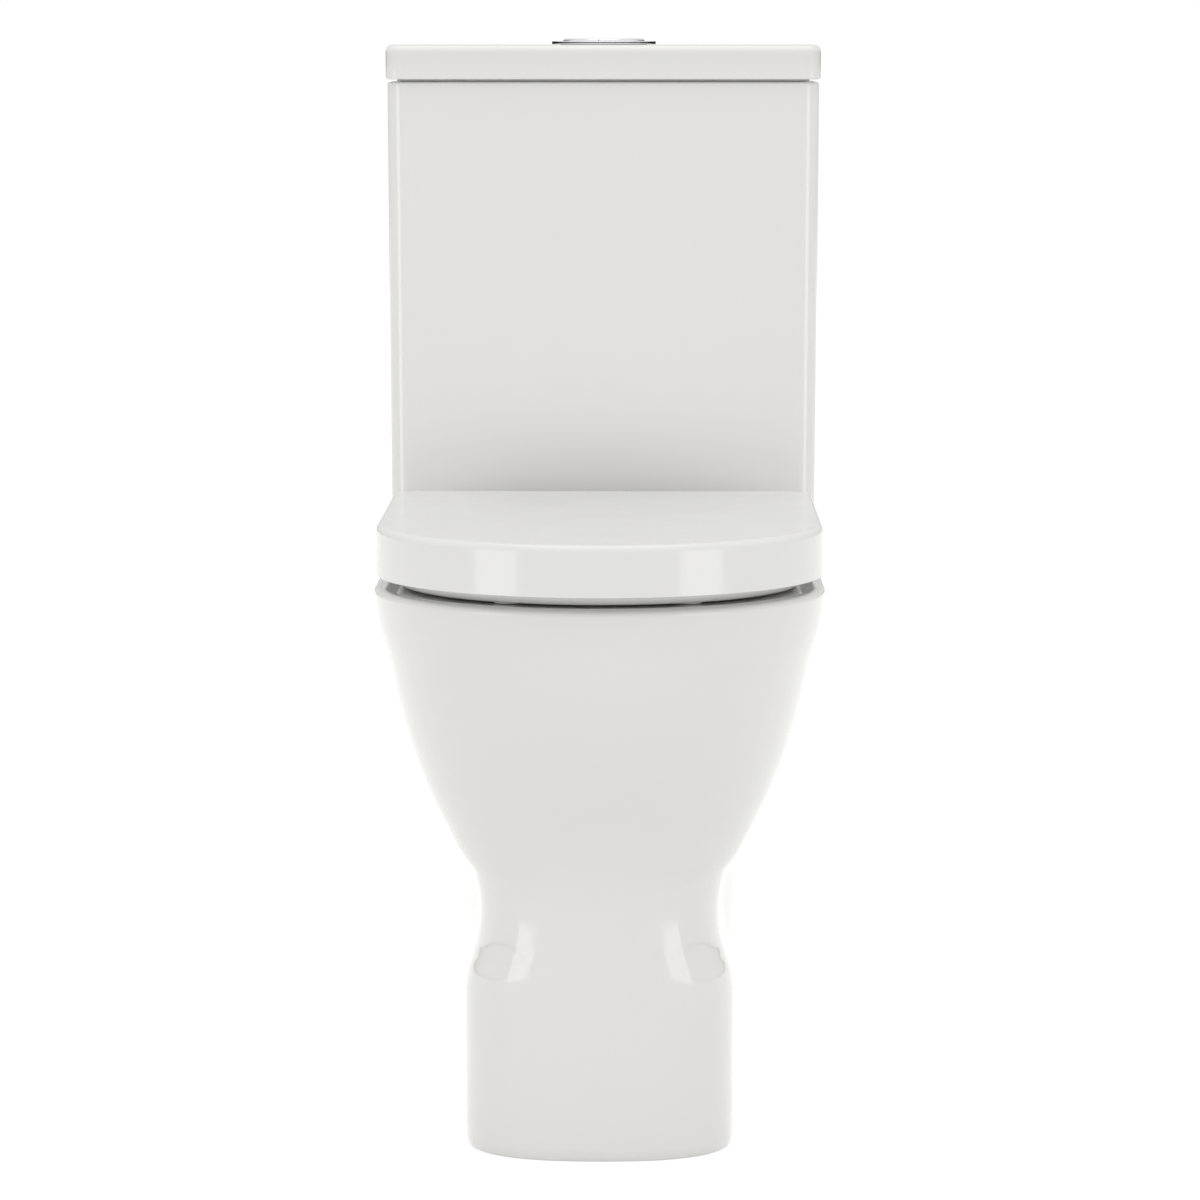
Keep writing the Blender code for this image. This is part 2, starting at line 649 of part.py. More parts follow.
def make_fill_valve_head():
    """The diaphragm housing on the riser, with a fork and a moulded pin that hold the lever."""
    base = RISER_TOP_Z + GAP
    profile = [(0.0, 0.7480), (0.0120, 0.7475), (0.0165, 0.7430), (0.0175, 0.7300),
               (0.0175, base), (0.0, base)]
    head = turned(profile, *FILL, closed=False, steps=24)
    x, y = FILL
    join(head, block(x + 0.010, x + 0.0310, y - 0.006, y + 0.006, LEVER_Z - 0.006, LEVER_Z + 0.005))
    cut(head, block(x + 0.0185, x + 0.040, y - 0.0022, y + 0.0022, LEVER_Z - 0.02, LEVER_Z + 0.02))
    pin = rod(LEVER_PIN, 0.0, 0.0, -0.007, 0.007, 10)
    pin.data.transform(Matrix.Rotation(math.pi / 2, 4, "X"))
    pin.data.transform(Matrix.Translation((LEVER_PIVOT_X, y, LEVER_Z)))
    join(head, pin)
    finish(head, "fill_valve_head", VALVE_PLASTIC)


def make_lever():
    """A flat bar on the fork's pin, hanging down. Its free end lies beside the float's rod."""
    reach = FLOAT_ROD_X - LEVER_PIVOT_X + 0.003
    bar = block(-0.0045, reach, -0.0016, 0.0016, -0.0030, 0.0030)
    hole = rod(LEVER_PIN + GAP, 0.0, 0.0, -0.01, 0.01, 10)
    hole.data.transform(Matrix.Rotation(math.pi / 2, 4, "X"))
    cut(bar, hole)
    lever = as_mesh(bar)
    lever.data.transform(Matrix.Rotation(LEVER_DROOP, 4, "Y"))
    lever.location = (LEVER_PIVOT_X, FILL[1], LEVER_Z)
    finish(lever, "lever_arm", BLUE_PLASTIC)


def make_float():
    x, y = FILL
    cup = block(x - 0.015, FLOAT_ROD_X + 0.010, y - 0.025, y + 0.025, *FLOAT_Z, 0.003)
    cut(cup, rod(RISER + 0.0007, x, y, FLOAT_Z[0] - 0.01, FLOAT_Z[1] + 0.01, 20))
    finish(cup, "float_cup", VALVE_PLASTIC)
    stem_top = LEVER_Z + 0.006 - FLOAT_DROP
    stem = rod(0.0015, FLOAT_ROD_X, y + 0.0040, FLOAT_Z[1] + GAP, stem_top, 10)
    finish(stem, "float_rod", STEEL)


# ---------------------------------------------------------------- close coupling kit
BOLT_RADIUS = 0.0050


def make_coupling_gasket():
    gasket = ring(0.0425, 0.0580, RIM_Z + GAP, CISTERN_BASE_Z - GAP, *VALVE, steps=28)
    finish(gasket, "coupling_gasket", RUBBER)


def make_coupling_bolt(name, side):
    """Bolt, its seal in the cistern, the spacer under the cistern and the nut under the shelf."""
    x, y = side * BOLT_X, VALVE[1]
    tag = name[-1]
    head_z = FLOOR_TOP_Z + 0.0030
    bolt = rod(0.0090, x, y, head_z, head_z + 0.0055, 6)
    bore = BOLT_RADIUS + GAP
    join(bolt, rod(BOLT_RADIUS, x, y, 0.3950, head_z + 0.001))
    finish(bolt, name, BRASS)
    seal = ring(bore, 0.0110, FLOOR_TOP_Z + GAP, head_z - GAP, x, y, 20)
    finish(seal, f"coupling_seal_{tag}", RUBBER)
    washer = ring(bore, 0.0120, RIM_Z + GAP, CISTERN_BASE_Z - GAP, x, y, 20)
    finish(washer, f"coupling_washer_{tag}", RUBBER)
    nut = rod(0.0110, x, y, DECK_UNDER_Z - 0.0120, DECK_UNDER_Z - GAP, 6)
    cut(nut, rod(bore, x, y, 0.39, 0.43))
    finish(nut, f"coupling_nut_{tag}", BRASS)


# ---------------------------------------------------------------- seat
PIN_RADIUS = 0.0040          # hinge pins and studs
PIN_BORE = 0.0044
BARREL_RADIUS = 0.0090


def seat_loop(inset, z):
    outline = plan(FRONT_Y + inset, SEAT_HALF - inset, SEAT_SHOULDER_Y, SEAT_BACK_Y - inset,
                   corner=0.022 - inset)
    return at(outline, z)


def lug(x0, x1, y0, y1, z0, z1):
    return block(min(x0, x1), max(x0, x1), y0, y1, z0, z1)


def make_seat_lid():
    """A thin shell open below, its top edge rounded, with two hinge lugs inside."""
    edge = ((0.0000, SEAT_EDGE_Z), (0.0004, SEAT_TOP_Z - 0.0060), (0.0011, SEAT_TOP_Z - 0.0027),
            (0.0027, SEAT_TOP_Z - 0.0007), (0.0048, SEAT_TOP_Z))
    shell = loft([seat_loop(inset, z) for inset, z in edge])
    bm = bmesh.new()
    bm.from_mesh(shell.data)
    open_face = [f for f in bm.faces if all(abs(v.co.z - SEAT_EDGE_Z) < 1e-6 for v in f.verts)]
    bmesh.ops.delete(bm, geom=open_face, context="FACES_ONLY")
    bm.to_mesh(shell.data)
    bm.free()
    wall = shell.modifiers.new("wall", "SOLIDIFY")
    wall.thickness = SEAT_SHELL
    wall.offset = -1.0
    wall.use_even_offset = True
    cut(shell, block(-0.148, 0.148, SEAT_BACK_Y - 0.012, SEAT_BACK_Y + 0.01, 0.43, 0.474))
    _, y, z = HINGE
    for side in (-1, 1):
        join(shell, lug(side * 0.094, side * 0.106, y - 0.010, y + 0.010, z - 0.0100,
                        SEAT_TOP_Z - SEAT_SHELL + 0.001))
        cut(shell, cross_rod(PIN_BORE, y, z, side * 0.100 - 0.012, side * 0.100 + 0.012, 20))
    return finish(move_origin(shell, (0.0, y, z)), "seat_lid", SEAT_PLASTIC)


# across the ring from its outer edge (0) to its inner edge (1), and height
RING_SECTION = ((0.03, RING_BASE_Z), (0.00, RING_BASE_Z + 0.003), (0.00, RING_TOP_Z - 0.009),
                (0.06, RING_TOP_Z - 0.002), (0.20, RING_TOP_Z), (0.75, RING_TOP_Z - 0.0005),
                (0.94, RING_TOP_Z - 0.003), (1.00, RING_TOP_Z - 0.009), (1.00, RING_BASE_Z + 0.003),
                (0.97, RING_BASE_Z))


def make_seat_ring():
    outer = plan(-0.290, 0.1600, SEAT_SHOULDER_Y, 0.070, corner=0.035)
    inner = plan(-0.240, 0.1050, -0.105, 0.030, 0.060, (-0.105, 0.04), corner=0.045)
    loops = []
    for share, z in RING_SECTION:
        loops.append([(xo + (xi - xo) * share, yo + (yi - yo) * share, z)
                      for (xo, yo), (xi, yi) in zip(outer, inner)])
    seat = loft(loops, close_ends=False)
    _, y, z = HINGE
    for side in (-1, 1):
        join(seat, lug(side * 0.050, side * 0.061, 0.050, y + 0.009, z - 0.009, z + 0.0065))
        cut(seat, cross_rod(PIN_BORE, y, z, side * 0.0555 - 0.012, side * 0.0555 + 0.012, 20))
    return finish(move_origin(seat, (0.0, y, z)), "seat_ring", SEAT_PLASTIC)


def make_hinge(name, side):
    """A post on the deck with a cross barrel, its pin, and the stud, washer and nut below."""
    tag = name[-1]
    x, y, z = side * HINGE[0], HINGE[1], HINGE[2]
    foot = RIM_Z + GAP
    post = rod(0.0125, x, y, foot, foot + 0.003, 24)
    join(post, rod(0.0085, x, y, foot + 0.001, z - 0.001, 20),
         cross_rod(BARREL_RADIUS, y, z, x - 0.013, x + 0.013, 20))
    cut(post, cross_rod(PIN_BORE, y, z, x - 0.02, x + 0.02, 20))
    finish(post, name, CHROME)
    ends = sorted((side * 0.0475, side * 0.1085))
    finish(cross_rod(PIN_RADIUS, y, z, *ends), f"hinge_pin_{tag}", STEEL)
    finish(rod(PIN_RADIUS, x, y, 0.3900, RIM_Z), f"hinge_stud_{tag}", STEEL)
    washer = ring(PIN_RADIUS + GAP, 0.0115, DECK_UNDER_Z - 0.0033, DECK_UNDER_Z - GAP, x, y, 20)
    finish(washer, f"hinge_washer_{tag}", RUBBER)
    nut = rod(0.0100, x, y, DECK_UNDER_Z - 0.0130, DECK_UNDER_Z - 0.0036, 6)
    cut(nut, rod(PIN_RADIUS + GAP, x, y, 0.39, 0.42))
    finish(nut, f"hinge_nut_{tag}", VALVE_PLASTIC)


def make_bumpers():
    front = (0.067, -0.2555)
    rear = (0.142, 0.000)
    for end, (x, y) in (("front", front), ("rear", rear)):
        for tag, side in (("l", -1), ("r", 1)):
            pad = rod(0.0110, side * x, y, RIM_Z + GAP, RING_BASE_Z - GAP, 16)
            finish(pad, f"ring_bumper_{end}_{tag}", PALE_RUBBER)
    for tag, side in (("l", -1), ("r", 1)):
        pad = rod(0.0080, side * front[0], front[1], RING_TOP_Z + GAP,
                  SEAT_TOP_Z - SEAT_SHELL - GAP, 16)
        finish(pad, f"lid_bumper_{tag}", PALE_RUBBER)


# ---------------------------------------------------------------- floor fixing
BRACKET_DEEP = 0.020         # each way from the side screw
FLOOR_SCREW = 0.0030
SIDE_SCREW = 0.0025


def make_floor_fixing(name, side):
    """An angle bracket inside the foot, its floor screw, the side screw and the cover cap."""
    tag = name[-1]
    wall_x, y, z = SIDE_FIX
    inner = wall_x - WALL - 0.0009
    front, back = y - BRACKET_DEEP, y + BRACKET_DEEP
    bracket = lug(side * (inner - 0.012), side * inner, front, back, 0.0, z + 0.015)
    join(bracket, lug(side * (inner - 0.034), side * (inner - 0.006), front, back, 0.0, 0.006))
    screw_x = side * (inner - 0.023)
    cut(bracket, rod(FLOOR_SCREW + 0.0004, screw_x, y, -0.01, 0.02))
    cut(bracket, cross_rod(SIDE_SCREW + GAP, y, z, side * inner - 0.02, side * inner + 0.02, 12))
    finish(bracket, name, DARK_PLASTIC)
    screw = rod(0.0060, screw_x, y, 0.006 + GAP, 0.0090, 16)
    join(screw, rod(FLOOR_SCREW, screw_x, y, 0.0010, 0.0080))
    finish(screw, f"floor_screw_{tag}", STEEL)
    seat_x = wall_x - CAP_DEPTH + GAP
    head = cross_rod(0.0048, y, z, *sorted((side * seat_x, side * (seat_x + 0.0030))), 16)
    ends = sorted((side * (inner - 0.010), side * (seat_x + 0.001)))
    join(head, cross_rod(SIDE_SCREW, y, z, *ends, 12))
    finish(head, f"side_screw_{tag}", STEEL)
    face = CAP_DEPTH - 0.0006
    profile = [(0.0, face), (CAP_RADIUS - 0.0006, face), (CAP_RADIUS, face - 0.0006),
               (CAP_RADIUS, 0.0), (0.0055, 0.0), (0.0055, 0.0036), (0.0, 0.0036)]
    cap = turned(profile, closed=False, steps=24)
    cap.rotation_euler = (0.0, side * math.pi / 2, 0.0)
    cap.location = (side * seat_x, y, z)
    finish(cap, f"side_cap_{tag}", SEAT_PLASTIC)


# ---------------------------------------------------------------- the whole toilet
def build():
    clear_scene()
    make_pan_skirt()
    make_pan_deck()
    make_pan_bowl("pan_bowl", SUMP_TOP_Z + GAP, DECK_UNDER_Z - GAP)
    make_pan_bowl("pan_sump", 0.0, SUMP_TOP_Z)
    make_pan_trapway()
    make_cistern()
    make_cistern_lid()
    make_bezel()
    make_button("full_flush", 1)
    make_button("half_flush", -1)
    make_flush_valve()
    make_overflow_tube()
    make_fill_valve()
    make_fill_valve_head()
    make_lever()
    make_float()
    make_coupling_gasket()
    both_sides(make_coupling_bolt, "coupling_bolt")
    make_seat_lid()
    make_seat_ring()
    both_sides(make_hinge, "hinge_post")
    make_bumpers()
    both_sides(make_floor_fixing, "floor_bracket")


build()
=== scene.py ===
"""Close coupled toilet: fine meshes, glaze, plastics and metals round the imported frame.

Every measure is in metres, +Z up, with the front towards -Y.
"""

import logging
import math
from dataclasses import dataclass
from enum import Enum

import bmesh
import bpy
import numpy as np
from mathutils import Matrix, Vector


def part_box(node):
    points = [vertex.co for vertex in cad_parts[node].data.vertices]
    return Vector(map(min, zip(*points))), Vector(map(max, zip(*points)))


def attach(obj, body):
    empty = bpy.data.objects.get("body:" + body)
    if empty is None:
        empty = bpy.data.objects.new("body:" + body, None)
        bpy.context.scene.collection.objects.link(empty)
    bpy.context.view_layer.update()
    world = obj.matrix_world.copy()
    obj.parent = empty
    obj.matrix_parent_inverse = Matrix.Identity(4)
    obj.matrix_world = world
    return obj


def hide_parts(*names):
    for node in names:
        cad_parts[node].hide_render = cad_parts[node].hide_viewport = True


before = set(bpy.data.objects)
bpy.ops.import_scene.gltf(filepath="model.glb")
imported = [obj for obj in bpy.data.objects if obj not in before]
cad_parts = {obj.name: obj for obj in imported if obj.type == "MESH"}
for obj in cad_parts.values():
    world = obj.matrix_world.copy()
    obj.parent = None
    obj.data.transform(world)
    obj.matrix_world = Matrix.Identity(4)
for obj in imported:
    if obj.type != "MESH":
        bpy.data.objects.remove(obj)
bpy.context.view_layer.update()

LOG = logging.getLogger("toilet")

Point2 = tuple[float, float]
Point3 = tuple[float, float, float]
SIDES = (("l", -1), ("r", 1))
POSE_GAP = 0.0003


# ---------------------------------------------------------------- finishes
class Slot(Enum):
    """The record's material slots."""

    CERAMIC = "glazed_ceramic"
    SEAT = "seat_plastic"
    CHROME = "chrome"
    VALVE = "valve_plastic"
    BLUE = "blue_plastic"
    DARK = "dark_plastic"
    RUBBER = "rubber"
    PALE_RUBBER = "pale_rubber"
    BRASS = "brass"
    STEEL = "steel"


def surface_variation() -> bpy.types.NodeTree:
    """Builds, once, the node group that varies a surface.

    Returns:
        A group that turns two colours, two roughness values and a grain size into a
        mottled colour, a roughness and a height.
    """
    name = "surface_variation"
    if name in bpy.data.node_groups:
        return bpy.data.node_groups[name]
    tree = bpy.data.node_groups.new(name, "ShaderNodeTree")
    sockets = (("Light", "NodeSocketColor"), ("Dark", "NodeSocketColor"),
               ("Smooth", "NodeSocketFloat"), ("Rough", "NodeSocketFloat"),
               ("Cloud Scale", "NodeSocketFloat"), ("Grain Scale", "NodeSocketFloat"),
               ("Grain Share", "NodeSocketFloat"))
    for label, kind in sockets:
        tree.interface.new_socket(label, in_out="INPUT", socket_type=kind)
    for label, kind in (("Color", "NodeSocketColor"), ("Roughness", "NodeSocketFloat"),
                        ("Height", "NodeSocketFloat")):
        tree.interface.new_socket(label, in_out="OUTPUT", socket_type=kind)
    nodes, links = tree.nodes, tree.links
    entry, leave = nodes.new("NodeGroupInput"), nodes.new("NodeGroupOutput")
    place = nodes.new("ShaderNodeTexCoord")
    clouds, grain = nodes.new("ShaderNodeTexNoise"), nodes.new("ShaderNodeTexNoise")
    clouds.inputs["Detail"].default_value = 3.0
    grain.inputs["Detail"].default_value = 2.0
    for noise, scale in ((clouds, "Cloud Scale"), (grain, "Grain Scale")):
        links.new(place.outputs["Object"], noise.inputs["Vector"])
        links.new(entry.outputs[scale], noise.inputs["Scale"])
    blend = nodes.new("ShaderNodeMix")
    links.new(entry.outputs["Grain Share"], blend.inputs["Factor"])
    links.new(clouds.outputs["Fac"], blend.inputs["A"])
    links.new(grain.outputs["Fac"], blend.inputs["B"])
    spread = nodes.new("ShaderNodeMapRange")
    spread.inputs["From Min"].default_value = 0.3
    spread.inputs["From Max"].default_value = 0.7
    links.new(blend.outputs["Result"], spread.inputs["Value"])
    colour = nodes.new("ShaderNodeMix")
    colour.data_type = "RGBA"
    links.new(spread.outputs["Result"], colour.inputs["Factor"])
    links.new(entry.outputs["Light"], colour.inputs[6])
    links.new(entry.outputs["Dark"], colour.inputs[7])
    rough = nodes.new("ShaderNodeMix")
    links.new(spread.outputs["Result"], rough.inputs["Factor"])
    links.new(entry.outputs["Smooth"], rough.inputs["A"])
    links.new(entry.outputs["Rough"], rough.inputs["B"])
    links.new(colour.outputs[2], leave.inputs["Color"])
    links.new(rough.outputs["Result"], leave.inputs["Roughness"])
    links.new(grain.outputs["Fac"], leave.inputs["Height"])
    return tree


@dataclass(frozen=True)
class Finish:
    """One surface finish: two close colours, two roughness values and a fine relief."""

    slot: Slot
    light: Point3
    dark: Point3
    smooth: float
    rough: float
    metallic: float = 0.0
    coat: float = 0.0
    coat_roughness: float = 0.03
    specular: float = 0.5
    clouds: float = 6.0
    grain: float = 400.0
    grain_share: float = 0.25
    relief: float = 0.0
    relief_depth: float = 0.0002

    def material(self) -> bpy.types.Material:
        """Returns the finish's material, made on first use."""
        name = f"{self.slot.value}_finish"
        found = bpy.data.materials.get(name)
        if found:
            return found
        made = bpy.data.materials.new(name)
        made.use_nodes = True
        nodes, links = made.node_tree.nodes, made.node_tree.links
        shader = nodes["Principled BSDF"]
        group = nodes.new("ShaderNodeGroup")
        group.node_tree = surface_variation()
        group.inputs["Light"].default_value = (*self.light, 1.0)
        group.inputs["Dark"].default_value = (*self.dark, 1.0)
        group.inputs["Smooth"].default_value = self.smooth
        group.inputs["Rough"].default_value = self.rough
        group.inputs["Cloud Scale"].default_value = self.clouds
        group.inputs["Grain Scale"].default_value = self.grain
        group.inputs["Grain Share"].default_value = self.grain_share
        links.new(group.outputs["Color"], shader.inputs["Base Color"])
        links.new(group.outputs["Roughness"], shader.inputs["Roughness"])
        shader.inputs["Metallic"].default_value = self.metallic
        shader.inputs["Specular IOR Level"].default_value = self.specular
        shader.inputs["Coat Weight"].default_value = self.coat
        shader.inputs["Coat Roughness"].default_value = self.coat_roughness
        if self.relief:
            bump = nodes.new("ShaderNodeBump")
            bump.inputs["Strength"].default_value = self.relief
            bump.inputs["Distance"].default_value = self.relief_depth
            links.new(group.outputs["Height"], bump.inputs["Height"])
            links.new(bump.outputs["Normal"], shader.inputs["Normal"])
        return made


GLAZE = Finish(Slot.CERAMIC, (0.822, 0.819, 0.811), (0.808, 0.804, 0.795), 0.09, 0.14, coat=0.6,
               clouds=5.0, grain=60.0, grain_share=0.15, relief=0.04)
SEAT_GLOSS = Finish(Slot.SEAT, (0.825, 0.825, 0.818), (0.812, 0.812, 0.805), 0.13, 0.18, coat=0.3,
                    clouds=7.0, grain=150.0, grain_share=0.2, relief=0.03)
CHROME = Finish(Slot.CHROME, (0.83, 0.83, 0.84), (0.78, 0.78, 0.79), 0.020, 0.050, metallic=1.0,
                clouds=40.0, grain=900.0, grain_share=0.4)
VALVE = Finish(Slot.VALVE, (0.76, 0.77, 0.78), (0.70, 0.71, 0.72), 0.38, 0.50,
               clouds=20.0, grain=900.0, grain_share=0.5, relief=0.25, relief_depth=0.0001)
BLUE = Finish(Slot.BLUE, (0.07, 0.20, 0.48), (0.05, 0.16, 0.40), 0.36, 0.50,
              clouds=20.0, grain=900.0, grain_share=0.5, relief=0.25, relief_depth=0.0001)
DARK = Finish(Slot.DARK, (0.07, 0.07, 0.075), (0.045, 0.045, 0.05), 0.42, 0.58,
              clouds=20.0, grain=900.0, grain_share=0.5, relief=0.35, relief_depth=0.0001)
RUBBER = Finish(Slot.RUBBER, (0.035, 0.035, 0.036), (0.022, 0.022, 0.023), 0.70, 0.90,
                clouds=25.0, grain=1200.0, grain_share=0.6, relief=0.4, relief_depth=0.0001)
PALE_RUBBER = Finish(Slot.PALE_RUBBER, (0.64, 0.64, 0.62), (0.57, 0.57, 0.55), 0.50, 0.70,
                     clouds=25.0, grain=1200.0, grain_share=0.6, relief=0.3, relief_depth=0.0001)
BRASS = Finish(Slot.BRASS, (0.72, 0.54, 0.27), (0.60, 0.43, 0.20), 0.22, 0.42, metallic=1.0,
               clouds=60.0, grain=1500.0, grain_share=0.4, relief=0.15, relief_depth=0.0001)
STEEL = Finish(Slot.STEEL, (0.66, 0.66, 0.67), (0.55, 0.55, 0.56), 0.20, 0.40, metallic=1.0,
               clouds=60.0, grain=1500.0, grain_share=0.4, relief=0.15, relief_depth=0.0001)


# ---------------------------------------------------------------- profiles and outlines
def fillet(corners: list[Point2], radius: float, steps: int = 4, closed: bool = True) -> list[Point2]:
    """Rounds the corners of a profile.

    Args:
        corners: the profile's corners in order.
        radius: how far from each corner the rounding starts, at most.
        steps: points along each rounding.
        closed: whether the last corner joins the first; if not, both ends stay sharp.

    Returns:
        The rounded profile.
    """
    points: list[Point2] = []
    count = len(corners)
    for i, corner in enumerate(corners):
        if not closed and i in (0, count - 1):
            points.append(corner)
            continue
        here = Vector(corner)
        back, ahead = Vector(corners[i - 1]) - here, Vector(corners[(i + 1) % count]) - here
        reach = min(radius, back.length * 0.45, ahead.length * 0.45)
        start, end = here + back.normalized() * reach, here + ahead.normalized() * reach
        for k in range(steps + 1):
            t = k / steps
            point = start * (1 - t) ** 2 + here * 2 * t * (1 - t) + end * t * t
            points.append((point.x, point.y))
    return points


def smooth_step(t: float) -> float:
    """Returns t eased at both ends and held between 0 and 1."""
    t = min(max(t, 0.0), 1.0)
    return t * t * (3.0 - 2.0 * t)


def fair_rows(rows: np.ndarray, heights: np.ndarray) -> np.ndarray:
    """Reads a table of sections at other heights, along smooth curves that never overshoot.

    Args:
        rows: one section a row, its height first.
        heights: the heights wanted, rising.

    Returns:
        One row for each height, of the same columns.
    """
    z = rows[:, 0]
    step = np.diff(z)
    slope = np.diff(rows, axis=0) / step[:, None]
    lean = np.zeros_like(rows)
    same_way = slope[:-1] * slope[1:] > 0
    before, after = step[:-1, None], step[1:, None]
    wide, narrow = 2 * after + before, after + 2 * before
    safe = np.where(same_way, slope[:-1], 1.0), np.where(same_way, slope[1:], 1.0)
    lean[1:-1] = np.where(same_way, (wide + narrow) / (wide / safe[0] + narrow / safe[1]), 0.0)
    lean[0], lean[-1] = slope[0], slope[-1]
    at = np.clip(np.searchsorted(z, heights, side="right") - 1, 0, len(z) - 2)
    h = step[at][:, None]
    t = ((heights - z[at]) / step[at])[:, None]
    return (rows[at] * (1 + 2 * t) * (1 - t) ** 2 + lean[at] * h * t * (1 - t) ** 2
            + rows[at + 1] * t * t * (3 - 2 * t) + lean[at + 1] * h * t * t * (t - 1))


@dataclass(frozen=True)
class Outline:
    """A plan outline: an elliptical nose, sides that may narrow, and round back corners."""

    nose: float
    half: float
    shoulder: float
    back: float
    rear_half: float
    taper: Point2 = (0.0, 1.0)
    corner: float = 0.02
    power: float = 2.0
    nose_steps: int = 40
    side_steps: int = 32
    corner_steps: int = 10

    def at(self, z: float) -> list[Point3]:
        """Returns the outline at height z, from the front middle round by the right."""
        right: list[Point2] = []
        for i in range(self.nose_steps + 1):
            a = math.pi / 2 * i / self.nose_steps
            x = self.half * math.sin(a) ** (2 / self.power)
            y = self.shoulder - (self.shoulder - self.nose) * max(math.cos(a), 0.0) ** (2 / self.power)
            right.append((x, y))
        straight_end = self.back - self.corner
        for i in range(1, self.side_steps + 1):
            y = self.shoulder + (straight_end - self.shoulder) * i / self.side_steps
            ease = smooth_step((y - self.taper[0]) / (self.taper[1] - self.taper[0]))
            right.append((self.half + (self.rear_half - self.half) * ease, y))
        end_half = right[-1][0]
        for i in range(1, self.corner_steps + 1):
            a = math.pi / 2 * i / self.corner_steps
            right.append((end_half - self.corner * (1 - math.cos(a)),
                          straight_end + self.corner * math.sin(a)))
        right.append((0.0, self.back))
        left = [(-x, y) for x, y in reversed(right[1:-1])]
        return [(x, y, z) for x, y in right + left]


# ---------------------------------------------------------------- mesh tools
def piece(name: str, bm: bmesh.types.BMesh, move: Matrix | None = None) -> bpy.types.Object:
    """Turns a bmesh into an object at the origin.

    Args:
        name: the piece's name.
        bm: the shape, which is freed.
        move: an optional placing, taken into the mesh.

    Returns:
        The new object.
    """
    if move:
        bm.transform(move)
    bmesh.ops.recalc_face_normals(bm, faces=bm.faces)
    mesh = bpy.data.meshes.new(name)
    bm.to_mesh(mesh)
    bm.free()
    obj = bpy.data.objects.new(name, mesh)
    bpy.context.scene.collection.objects.link(obj)
    return obj


def settle(obj: bpy.types.Object) -> bpy.types.Object:
    """Makes an object's modifiers part of its mesh and returns it."""
    bpy.context.view_layer.update()
    depsgraph = bpy.context.evaluated_depsgraph_get()
    mesh = bpy.data.meshes.new_from_object(obj.evaluated_get(depsgraph))
    obj.modifiers.clear()
    obj.data = mesh
    return obj


def carve(obj: bpy.types.Object, tools: list[bpy.types.Object], operation: str = "DIFFERENCE"
          ) -> bpy.types.Object:
    """Cuts a solid by others, or joins them to it, and removes the tools.

    Args:
        obj: the solid that changes.
        tools: the other solids.
        operation: DIFFERENCE or UNION.

    Returns:
        The changed solid.
    """
    group = bpy.data.collections.new("tools")
    for tool in tools:
        group.objects.link(tool)
    modifier = obj.modifiers.new("carve", "BOOLEAN")
    modifier.operation = operation
    modifier.solver = "EXACT"
    modifier.operand_type = "COLLECTION"
    modifier.collection = group
    settle(obj)
    for tool in tools:
        bpy.data.objects.remove(tool, do_unlink=True)
    bpy.data.collections.remove(group)
    return obj


def join_meshes(obj: bpy.types.Object, extra: bpy.types.Object) -> bpy.types.Object:
    """Adds the extra object's mesh to the first, keeps both sets of faces, and returns the first."""
    bm = bmesh.new()
    bm.from_mesh(obj.data)
    bm.from_mesh(extra.data)
    bm.to_mesh(obj.data)
    bm.free()
    bpy.data.objects.remove(extra, do_unlink=True)
    return obj


def dress(obj: bpy.types.Object, finish: Finish, body: str, *nodes: str, crease: float = 40.0
          ) -> bpy.types.Object:
    """Shades a finished piece, gives it its finish and hangs it on its body.

    Args:
        obj: the piece, with its place in its mesh.
        finish: its surface.
        body: the body that it moves with.
        nodes: the plain solids that it stands for.
        crease: edges sharper than this angle, in degrees, stay sharp.

    Returns:
        The piece.
    """
    obj.data.materials.clear()
    obj.data.materials.append(finish.material())
    obj.data.shade_smooth()
    obj.data.set_sharp_from_angle(angle=math.radians(crease))
    weighted = obj.modifiers.new("normals", "WEIGHTED_NORMAL")
    weighted.keep_sharp = True
    settle(obj)
    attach(obj, body)
    if nodes:
        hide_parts(*nodes)
    LOG.info("%s: %d faces on %s", obj.name, len(obj.data.polygons), body)
    return obj


def skin(loops: list[list[Point3]], capped: bool = True) -> bmesh.types.BMesh:
    """Skins loops of equal length.

    Args:
        loops: the loops in order.
        capped: whether the first and last are closed by a face; if not, they are joined.

    Returns:
        The closed shape.
    """
    bm = bmesh.new()
    rows = [[bm.verts.new(point) for point in loop] for loop in loops]
    pairs = list(zip(rows, rows[1:]))
    if not capped:
        pairs.append((rows[-1], rows[0]))
    for low, high in pairs:
        for i in range(len(low)):
            j = (i + 1) % len(low)
            bm.faces.new((low[i], low[j], high[j], high[i]))
    if capped:
        bm.faces.new(list(reversed(rows[0])))
        bm.faces.new(rows[-1])
    return bm


def revolve(profile: list[Point2], steps: int = 64, closed: bool = True) -> bmesh.types.BMesh:
    """Turns a profile of (radius, height) about the upright axis.

    Args:
        profile: its points; an open profile starts and ends on the axis.
        steps: faces round the axis.
        closed: whether the last point joins the first, as on a ring.

    Returns:
        The closed shape.
    """
    bm = bmesh.new()
    rows = []
    for radius, z in profile:
        if radius < 1e-7:
            rows.append([bm.verts.new((0.0, 0.0, z))])
            continue
        angles = (2 * math.pi * i / steps for i in range(steps))
        rows.append([bm.verts.new((radius * math.cos(a), radius * math.sin(a), z)) for a in angles])
    pairs = list(zip(rows, rows[1:]))
    if closed:
        pairs.append((rows[-1], rows[0]))
    for one, two in pairs:
        for i in range(steps):
            j = (i + 1) % steps
            corners = [one[i % len(one)], one[j % len(one)], two[j % len(two)], two[i % len(two)]]
            unique = list(dict.fromkeys(corners))
            if len(unique) > 2:
                bm.faces.new(unique)
    return bm


